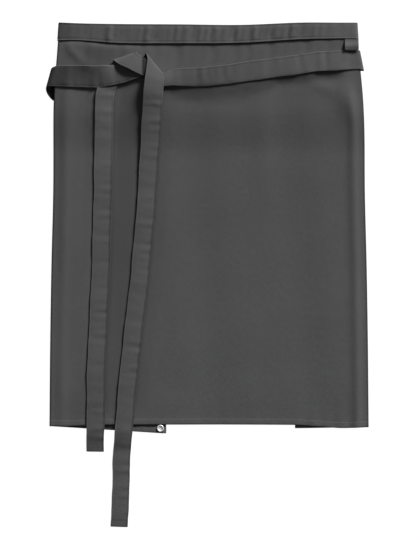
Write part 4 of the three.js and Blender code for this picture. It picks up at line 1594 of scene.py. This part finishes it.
@dataclass
class Tie:
    """A long flat tie: sewn under the band's end, round a side, through the knot and down to its tail."""

    layout: Layout
    side: Side
    tables: TieTables
    node: str
    seed: float
    spacing: float = 2.2
    lines: tuple[float, ...] = (
        -1, -0.97, -0.9, -0.75, -0.5, -0.25, 0, 0.25, 0.5, 0.72, 0.8, 0.84, 0.88, 0.94, 0.98, 1,
    )
    stitch_line: float = 0.84
    stitch_sink: float = 0.26
    stitch_rise: float = 0.1
    stitch_thickness: float = 0.46
    stitch_ends: int = 4
    end_hem: float = 13.0
    end_wall: float = 0.5
    edge_thinning: float = 0.22
    groove_depth: float = 0.4
    tail_arch: float = 0.3
    width_wobble: float = 0.012
    wave_lift: float = 0.48
    # Colour marks: lighter rubbing marks with painted highlight on the edges, and painted shade on the tails'
    # edge at line 1, the seams, the free end and the parts under other layers.
    edge_rub_and_highlight: float = 0.85
    top_rub_and_highlight: float = 0.35
    tail_shade: float = -0.9
    seam_shade: float = 0.55
    end_shade: float = 0.6
    end_seam_shade: float = 0.5
    hidden_shade: float = 1.6

    def _root(self) -> tuple[float, float]:
        """Where the tie is sewn on, behind the apron.

        Returns:
            Across and drop in millimetres.
        """
        s = self.layout.sizes
        if self.side is Side.RIGHT:
            return -s.top_width / 2 + s.left_lap_top - s.root_overlap, s.root_drop
        return s.top_width / 2 - s.right_lap_top + s.root_overlap, s.root_drop

    def _wrap(self) -> list[TieRow]:
        """The rows round the side edge.

        Returns:
            The rows, from the back to the front.
        """
        s = self.layout.sizes
        right = self.side is Side.RIGHT
        reach = s.wrap_reach if right else s.loop_reach
        low, high = (s.right_back_drop, s.right_side_drop) if right else (s.left_side_drop, s.left_front_drop)
        rows: list[TieRow] = []
        for out, climb, share, turn, span, tilt in self.tables.wrap:
            drop = mix(low, high, share)
            across = self.side.value * (float(self.layout.front_width(drop)) / 2 + reach * out)
            rows.append(TieRow(across, drop, 0.0, span, climb, turn, tilt=tilt))
        return rows

    def _tail(self, start: TieRow, length: float) -> list[TieRow]:
        """The rows of the hanging end.

        Args:
            start: The knot's row that the end hangs from.
            length: How long the end is.

        Returns:
            The rows, down to the free end.
        """
        return [TieRow(start.across + aside * length, start.drop + down * length, level, span, square=1,
                       tilt=tilt, arch=self.tail_arch)
                for down, aside, level, span, tilt in self.tables.tail]

    def rows(self) -> list[TieRow]:
        """Every station row of the tie.

        Returns:
            The rows, from the root to the free end.
        """
        s, width = self.layout.sizes, self.layout.sizes.tie_width
        root = self._root()
        wrap = self._wrap()
        back = [TieRow(mix(root[0], wrap[0].across, run), mix(root[1], wrap[0].drop, run) + slack * width,
                       level, climb=0.0) for run, slack, level in self.tables.back]
        knot = [TieRow(s.knot_across + right * width, s.knot_drop + down * width, level, span, 1.0, turn,
                       tilt=tilt, arch=arch)
                for right, down, level, turn, span, tilt, arch in self.tables.knot]
        front = [TieRow(mix(wrap[-1].across, knot[0].across, run),
                        mix(wrap[-1].drop, knot[0].drop, run) + slack * width, level, span, square=-1,
                        tilt=tilt, arch=arch)
                 for run, slack, level, span, tilt, arch in self.tables.front]
        right = self.side is Side.RIGHT
        tail = self._tail(knot[-2 if right else -3], s.short_tail if right else s.long_tail)
        first = TieRow(root[0], root[1], 1.0, climb=0.0)
        return [first, *back, *wrap, *front, *knot, *tail]

    @staticmethod
    def _turned(rows: list[TieRow]) -> list[TieRow]:
        """Gives each row without a turn the direction square to the tie's way.

        Args:
            rows: The tie's rows.

        Returns:
            The rows, all with a turn.
        """
        made: list[TieRow] = []
        for i, row in enumerate(rows):
            if row.turn is None:
                before, after = rows[max(0, i - 1)], rows[min(len(rows) - 1, i + 1)]
                way = math.degrees(math.atan2(before.drop - after.drop, after.across - before.across))
                turn = way + 90 * row.square
                known = [r.turn for r in reversed(made) if r.turn is not None]
                near = known[0] if known else next(r.turn for r in rows if r.turn is not None)
                row = replace(row, turn=turn + 360 * round((near - turn) / 360))
            made.append(row)
        return made

    def _stations(self, rows: list[TieRow]) -> Array:
        """Where the stations lie.

        Args:
            rows: The tie's rows.

        Returns:
            Places counted in rows, 1.5 being half-way from the second row to the third.
        """
        places = [0.0]
        for i, (here, there) in enumerate(zip(rows, rows[1:])):
            far = math.hypot(there.across - here.across, there.drop - here.drop)
            count = max(7, math.ceil(far / self.spacing))
            places.extend(np.linspace(i, i + 1, count + 1)[1:].tolist())
        return np.array(places)

    def surface(self, line: Array) -> tuple[Array, Array, Array, Array, Array]:
        """The tie's middle surface.

        Args:
            line: Places across the tie from -1 to 1.

        Returns:
            Across, drop and height, stations by lines, each station's length along the tie and its climb.
        """
        s, lay = self.layout.sizes, self.layout
        rows = self._turned(self.rows())
        table = [(i, r.across, r.drop, r.level, r.span, r.climb, r.turn, r.tilt, r.arch)
                 for i, r in enumerate(rows)]
        at = self._stations(rows)
        across, drop, level, span, climb, turn, tilt, arch = (along(table, k, at) for k in range(1, 9))
        length = np.concatenate([[0], np.cumsum(np.hypot(np.diff(across), np.diff(drop)))])
        shown = smooth_step(0, 1, climb)
        sway = ripple(length + self.seed, TIE_SWAY_WAVES) * shown
        half = span * s.tie_width / 2 * (1 + self.width_wobble * ripple(length + self.seed, TIE_WIDTH_WAVES))
        angle = np.radians(turn)
        x = across[:, None] + line * (half * np.cos(angle))[:, None] + (sway * np.cos(angle))[:, None]
        y = drop[:, None] - line * (half * np.sin(angle))[:, None] - (sway * np.sin(angle))[:, None]
        rest = mix(s.tie_wall / 2, lay.front_rest(x, y), climb[:, None])
        lifted = np.abs(tilt)[:, None] / 2 + tilt[:, None] / 2 * line
        wave = (ripple(length + self.seed * 3, TIE_LIFT_WAVES) + self.wave_lift) * shown
        bow = arch[:, None] * (1 - line**2)
        cockle = ripple(length + 7 * self.seed, TIE_COCKLE_WAVES) * shown
        cockle = cockle * (0.55 + 0.45 * np.sin(length / 37 + 5 * self.seed))
        height = rest + s.pitch * level[:, None] + lifted + wave[:, None] + bow
        return x, y, height + cockle[:, None] * (0.5 + 0.5 * line), length, climb

    def build(self, twill: bpy.types.Material) -> bpy.types.Object:
        """Makes and dresses the tie.

        Args:
            twill: The cloth's material.

        Returns:
            The tie.
        """
        s = self.layout.sizes
        line = np.array(self.lines)
        x, y, height, length, climb = self.surface(line[None, :])
        grid = self.layout.place(x, y, height)
        far = length[-1] - length
        wall = s.tie_wall * (1 - self.edge_thinning * np.abs(line) ** 8)[None, :] * np.ones_like(x)
        wall = wall - self.groove_depth * hump(line, self.stitch_line, 0.035)[None, :]
        turned = 1 - smooth_step(self.end_hem - 0.6, self.end_hem + 0.4, far)
        wall = wall + self.end_wall * turned[:, None]
        wear_and_painted_light = np.clip(self._wear_and_painted_light(x, y, far, climb), -1, 1)
        chart = chart_of(line[None, :] * s.tie_width / 2 * MM + self.seed, length[:, None] * MM)
        piece = sheet_object(self.node + "_cloth", grid, wall * MM, chart, wear_and_painted_light)
        paint(piece, twill)
        settle(piece, "charcoal_twill", self.node)
        return piece

    def _wear_and_painted_light(self, x: Array, y: Array, far: Array, climb: Array) -> Array:
        """How much lighter or darker the tie's colour is made: lighter rubbing marks with painted highlight
        on its edges, painted shade on its seams and free end, and painted shade on the parts that lie under
        other layers.

        Args:
            x: Across, stations by lines.
            y: Drop, stations by lines.
            far: How far each station is from the free end.
            climb: Each station's climb, 1 on the front.

        Returns:
            Positive where it is painted lighter and negative where shade is painted, stations by lines.
        """
        line = np.array(self.lines)
        past_hem = smooth_step(790, 815, y[:, :1])
        # Edges: lighter rubbing marks with painted highlight; the edge at line 1 turns to a painted dark
        # shadow line down the tails, with less of both past the hem.
        rub_and_painted_light = mix(self.top_rub_and_highlight, self.tail_shade, smooth_step(135, 165, y[:, :1])) * (1 - 0.75 * past_hem)
        wear_and_painted_light = self.edge_rub_and_highlight * hump(line, -0.98, 0.06)[None, :] + rub_and_painted_light * hump(line, 1.0, 0.07)[None, :]
        # Painted shade along the seam's groove, at the free end and at its hem's seam.
        wear_and_painted_light = wear_and_painted_light - self.seam_shade * hump(line, self.stitch_line, 0.04)[None, :]
        end = self.end_shade * hump(far, 0, 1.2) + self.end_seam_shade * hump(far, self.end_hem + 0.4, 1.0)
        wear_and_painted_light -= end[:, None]
        # Painted shade on the loop's inner face round the side edge.
        half = self.layout.front_width(y) / 2
        hollow = smooth_step(-3, 0, np.abs(x) - half) * (1 - smooth_step(0.5, 0.75, climb))[:, None]
        wear_and_painted_light -= self.hidden_shade * hollow * (1 - smooth_step(0.88, 0.97, np.abs(line)))[None, :]
        in_front = smooth_step(0.9, 1, climb)[:, None]
        if self.side is Side.RIGHT:
            # Painted shadow where the knot's top passes under the long tail; painted light on the front run's
            # right end and on the short tail's top.
            inside = smooth_step(-130.6, -128.8, x) * (1 - smooth_step(-104, -94, x))
            wear_and_painted_light -= self.hidden_shade * inside * in_front
            wear_and_painted_light += 0.3 * smooth_step(262, 286, x) * smooth_step(0.7, 1, climb)[:, None]
            wear_and_painted_light += 0.6 * hump(y, 200, 75) * (x < -180) * in_front
        else:
            # Painted shade where the front run passes under the knot; painted light on the long tail's top.
            middle = np.where(climb > 0.9, y[:, y.shape[1] // 2], np.inf)
            under = (np.arange(len(middle)) < np.argmin(middle)) & (climb > 0.9)
            wear_and_painted_light -= self.hidden_shade * under[:, None] * smooth_step(-134, -131, x)
            wear_and_painted_light += 0.4 * hump(y, 140, 48) * (x > -160) * ~under[:, None] * in_front
        return wear_and_painted_light

    def stitches(self) -> list[StitchRow]:
        """The row along the stitched edge, on both faces, and across the end hem.

        Returns:
            The rows.
        """
        s = self.layout.sizes
        near = [self.stitch_line - 0.02, self.stitch_line, self.stitch_line + 0.02]
        x, y, height, *_ = self.surface(np.array([near]))
        grid = self.layout.place(x, y, height)
        out = sheet_normals(grid)[2][:, 1]
        rows: list[StitchRow] = []
        lift = (s.tie_wall / 2 - self.stitch_sink) * MM
        inner = slice(self.stitch_ends, -self.stitch_ends)
        for face in (1, -1):
            rows.append(StitchRow((grid[:, 1] + out * lift * face)[inner], thickness=self.stitch_thickness))
        line = np.linspace(-0.92, 0.8, 24)
        x, y, height, length, _ = self.surface(line[None, :])
        end = self.layout.place(x, y, height)
        place = int(np.argmin(np.abs(length[-1] - length - self.end_hem + 1.5)))
        rise = np.array([0, 0, (s.tie_wall / 2 + self.stitch_rise) * MM])
        rows.append(StitchRow(end[place] + rise, thickness=self.stitch_thickness))
        return rows


@dataclass
class LabelTab:
    """The small woven tab under the band's seam at the right side, left bare."""

    layout: Layout
    steps: tuple[int, int] = (40, 36)
    lift: float = 2.6
    corner_lift: float = 1.1
    bow: float = 0.5

    def build(self, woven: bpy.types.Material) -> bpy.types.Object:
        """Makes and dresses the tab.

        Args:
            woven: The tab's material.

        Returns:
            The tab.
        """
        s, lay = self.layout.sizes, self.layout
        right = float(lay.front_width(s.band_height + s.label_length)) / 2 - s.label_inset
        top = float(lay.waist_dip(right) + lay.band_depth(right)) + s.gap
        low = float(lay.front_height(right, top)) + s.cloth_wall / 2 + s.gap + s.label_wall / 2
        down = np.linspace(0, 1, self.steps[0])[:, None]
        side = np.linspace(0, 1, self.steps[1])[None, :]
        height = low + (s.tie_wall + s.gap + self.lift) * smooth_step(0, 0.75, down)
        height = height + self.corner_lift * smooth_step(0.3, 1, down) * (1 - side) ** 2 - 0.3 * down**8
        across = right - s.label_width * (1 - side) + 0 * down
        drop = top + down * s.label_length + self.bow * np.sin(side * math.pi)
        grid = lay.place(across, drop, height)
        chart = chart_of(side * s.label_width * MM, down * s.label_length * MM)
        piece = sheet_object("label_tab_cloth", grid, s.label_wall * MM, chart)
        paint(piece, woven)
        settle(piece, "woven_tab", "label_tab")
        return piece


@dataclass
class PressStud:
    """The press stud in the left lap's corner: cap and post below, socket ring above."""

    layout: Layout
    ring_wall: float = 2.6
    ring_rounding: float = 0.35
    cap_rounding: float = 0.3
    axis: float = 0.02

    def build(self, nickel: bpy.types.Material) -> None:
        """Makes both halves with rolled edges and a spring groove, and dresses them.

        Args:
            nickel: The stud's material.
        """
        s = self.layout.sizes
        place = self.layout.stud_place
        foot = self.layout.place(place[0], place[1], 0.0)
        radius, post = s.stud_diameter / 2, s.stud_post / 2
        cloth_top = s.stud_cap_height + s.gap + s.hem_wall
        low, high = cloth_top + s.gap, cloth_top + s.gap + s.stud_ring_height
        inner = radius - self.ring_wall
        ring = [
            (post + s.gap, low), (radius - 0.2, low), (radius, low + 0.3), (radius, high - 0.7),
            (radius - 0.7, high), (inner + 0.9, high), (inner + 0.4, high - 0.25), (inner, high - 0.8),
            (inner - 0.2, low + 0.9), (post + s.gap, low + 0.7),
        ]
        socket = turned_object("snap_socket_ring", rounded_loop(ring, self.ring_rounding), foot)
        paint(socket, nickel)
        settle(socket, "nickel", "snap_socket")
        tip = cloth_top + s.gap + s.stud_ring_height / 2
        cap = [
            (self.axis, 0.0), (radius - 1.2, 0.0), (radius, 0.5), (radius, s.stud_cap_height),
            (post, s.stud_cap_height), (post, tip - 0.4), (post - 0.5, tip), (post - 1.3, tip - 0.15),
            (0.9, tip - 0.5), (self.axis, tip - 0.5),
        ]
        cap_piece = turned_object("snap_cap_post", rounded_loop(cap, self.cap_rounding), foot)
        paint(cap_piece, nickel)
        settle(cap_piece, "nickel", "snap_cap")


@dataclass(frozen=True)
class Studio:
    """A white floor, one even soft light from the waist's side and right, fill light and the camera."""

    layout: Layout
    pixel: float = 1.985
    picture: tuple[int, int] = (420, 540)
    waist_row: float = 23.6
    middle_column: float = 208.0
    lens: float = 110.0
    sensor: float = 36.0
    key_way: tuple[float, float, float] = (0.5, 0.74, 0.36)
    key_power: float = 6.1
    key_spread: float = 16.0
    fill: float = 0.12
    floor_reach: float = 6.0
    floor_height: float = -0.0002
    far_clip: float = 50.0

    def build(self) -> None:
        """Makes the floor, the lights and the camera."""
        self._floor()
        self._key()
        self._world()
        self._camera()
        bpy.context.scene.view_settings.view_transform = "Standard"

    def _floor(self) -> None:
        """Lays a wide white floor at the apron's base."""
        mesh = bpy.data.meshes.new("floor")
        reach, low = self.floor_reach, self.floor_height
        corners = [(-reach, -reach, low), (reach, -reach, low), (reach, reach, low), (-reach, reach, low)]
        mesh.from_pydata(corners, [], [(0, 1, 2, 3)])
        floor = add_object("floor", mesh)
        floor.visible_diffuse = False
        floor.visible_glossy = False
        paint(floor, FloorFinish().build())

    def _key(self) -> None:
        """Hangs the broad soft light."""
        light = bpy.data.lights.new("key", "SUN")
        light.angle = math.radians(self.key_spread)
        light.energy = self.key_power
        way = Vector(self.key_way).normalized()
        add_object("key", light).rotation_euler = way.to_track_quat("Z", "Y").to_euler()

    def _world(self) -> None:
        """Fills the shadows evenly."""
        world = bpy.data.worlds.new("studio")
        world.use_nodes = True
        background = world.node_tree.nodes["Background"]
        background.inputs["Color"].default_value = grey(1.0)
        background.inputs["Strength"].default_value = self.fill
        bpy.context.scene.world = world

    def _camera(self) -> None:
        """Looks straight down, framed as the photograph is."""
        camera = bpy.data.cameras.new("camera")
        camera.lens = self.lens
        camera.sensor_width = self.sensor
        camera.clip_end = self.far_clip
        column = (self.picture[0] / 2 - self.middle_column) * self.pixel
        row = (self.picture[1] / 2 - self.waist_row) * self.pixel
        centre = self.layout.place(column, row, self.layout.sizes.front_high)
        height = self.picture[1] * self.pixel * MM * self.lens / self.sensor
        holder = add_object("camera", camera)
        holder.location = (centre[0], centre[1], centre[2] + height)
        bpy.context.scene.camera = holder


def main() -> None:
    """Builds the pieces in order, then the studio."""
    logging.basicConfig(level=logging.INFO, format="%(message)s")
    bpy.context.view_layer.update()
    layout = Layout()
    twill = TwillFinish().build()
    # The ties are of the same cloth; their copy of the twill is set a little darker as painted shade.
    tie_twill = TwillFinish(name="charcoal_tie_twill", level=0.0695, rib_angle=0.95, crumple=0.3).build()
    skirt = Skirt(layout)
    band = Waistband(layout, skirt)
    right = Tie(layout, Side.RIGHT, RIGHT_TIE, "right_tie", 0.31)
    left = Tie(layout, Side.LEFT, LEFT_TIE, "left_tie", 0.77)
    skirt.build(twill)
    band.build(twill)
    right.build(tie_twill)
    left.build(tie_twill)
    tree = StitchTree(ThreadFinish().build())
    sewn = {"skirt_stitches": skirt, "waistband_stitches": band,
            "right_tie_stitches": right, "left_tie_stitches": left}
    for name, piece in sewn.items():
        settle(tree.sew(name, piece.stitches()), "charcoal_twill")
    LabelTab(layout).build(TabFinish().build())
    PressStud(layout).build(NickelFinish().build())
    Studio(layout).build()


if __name__ == "__main__":
    main()
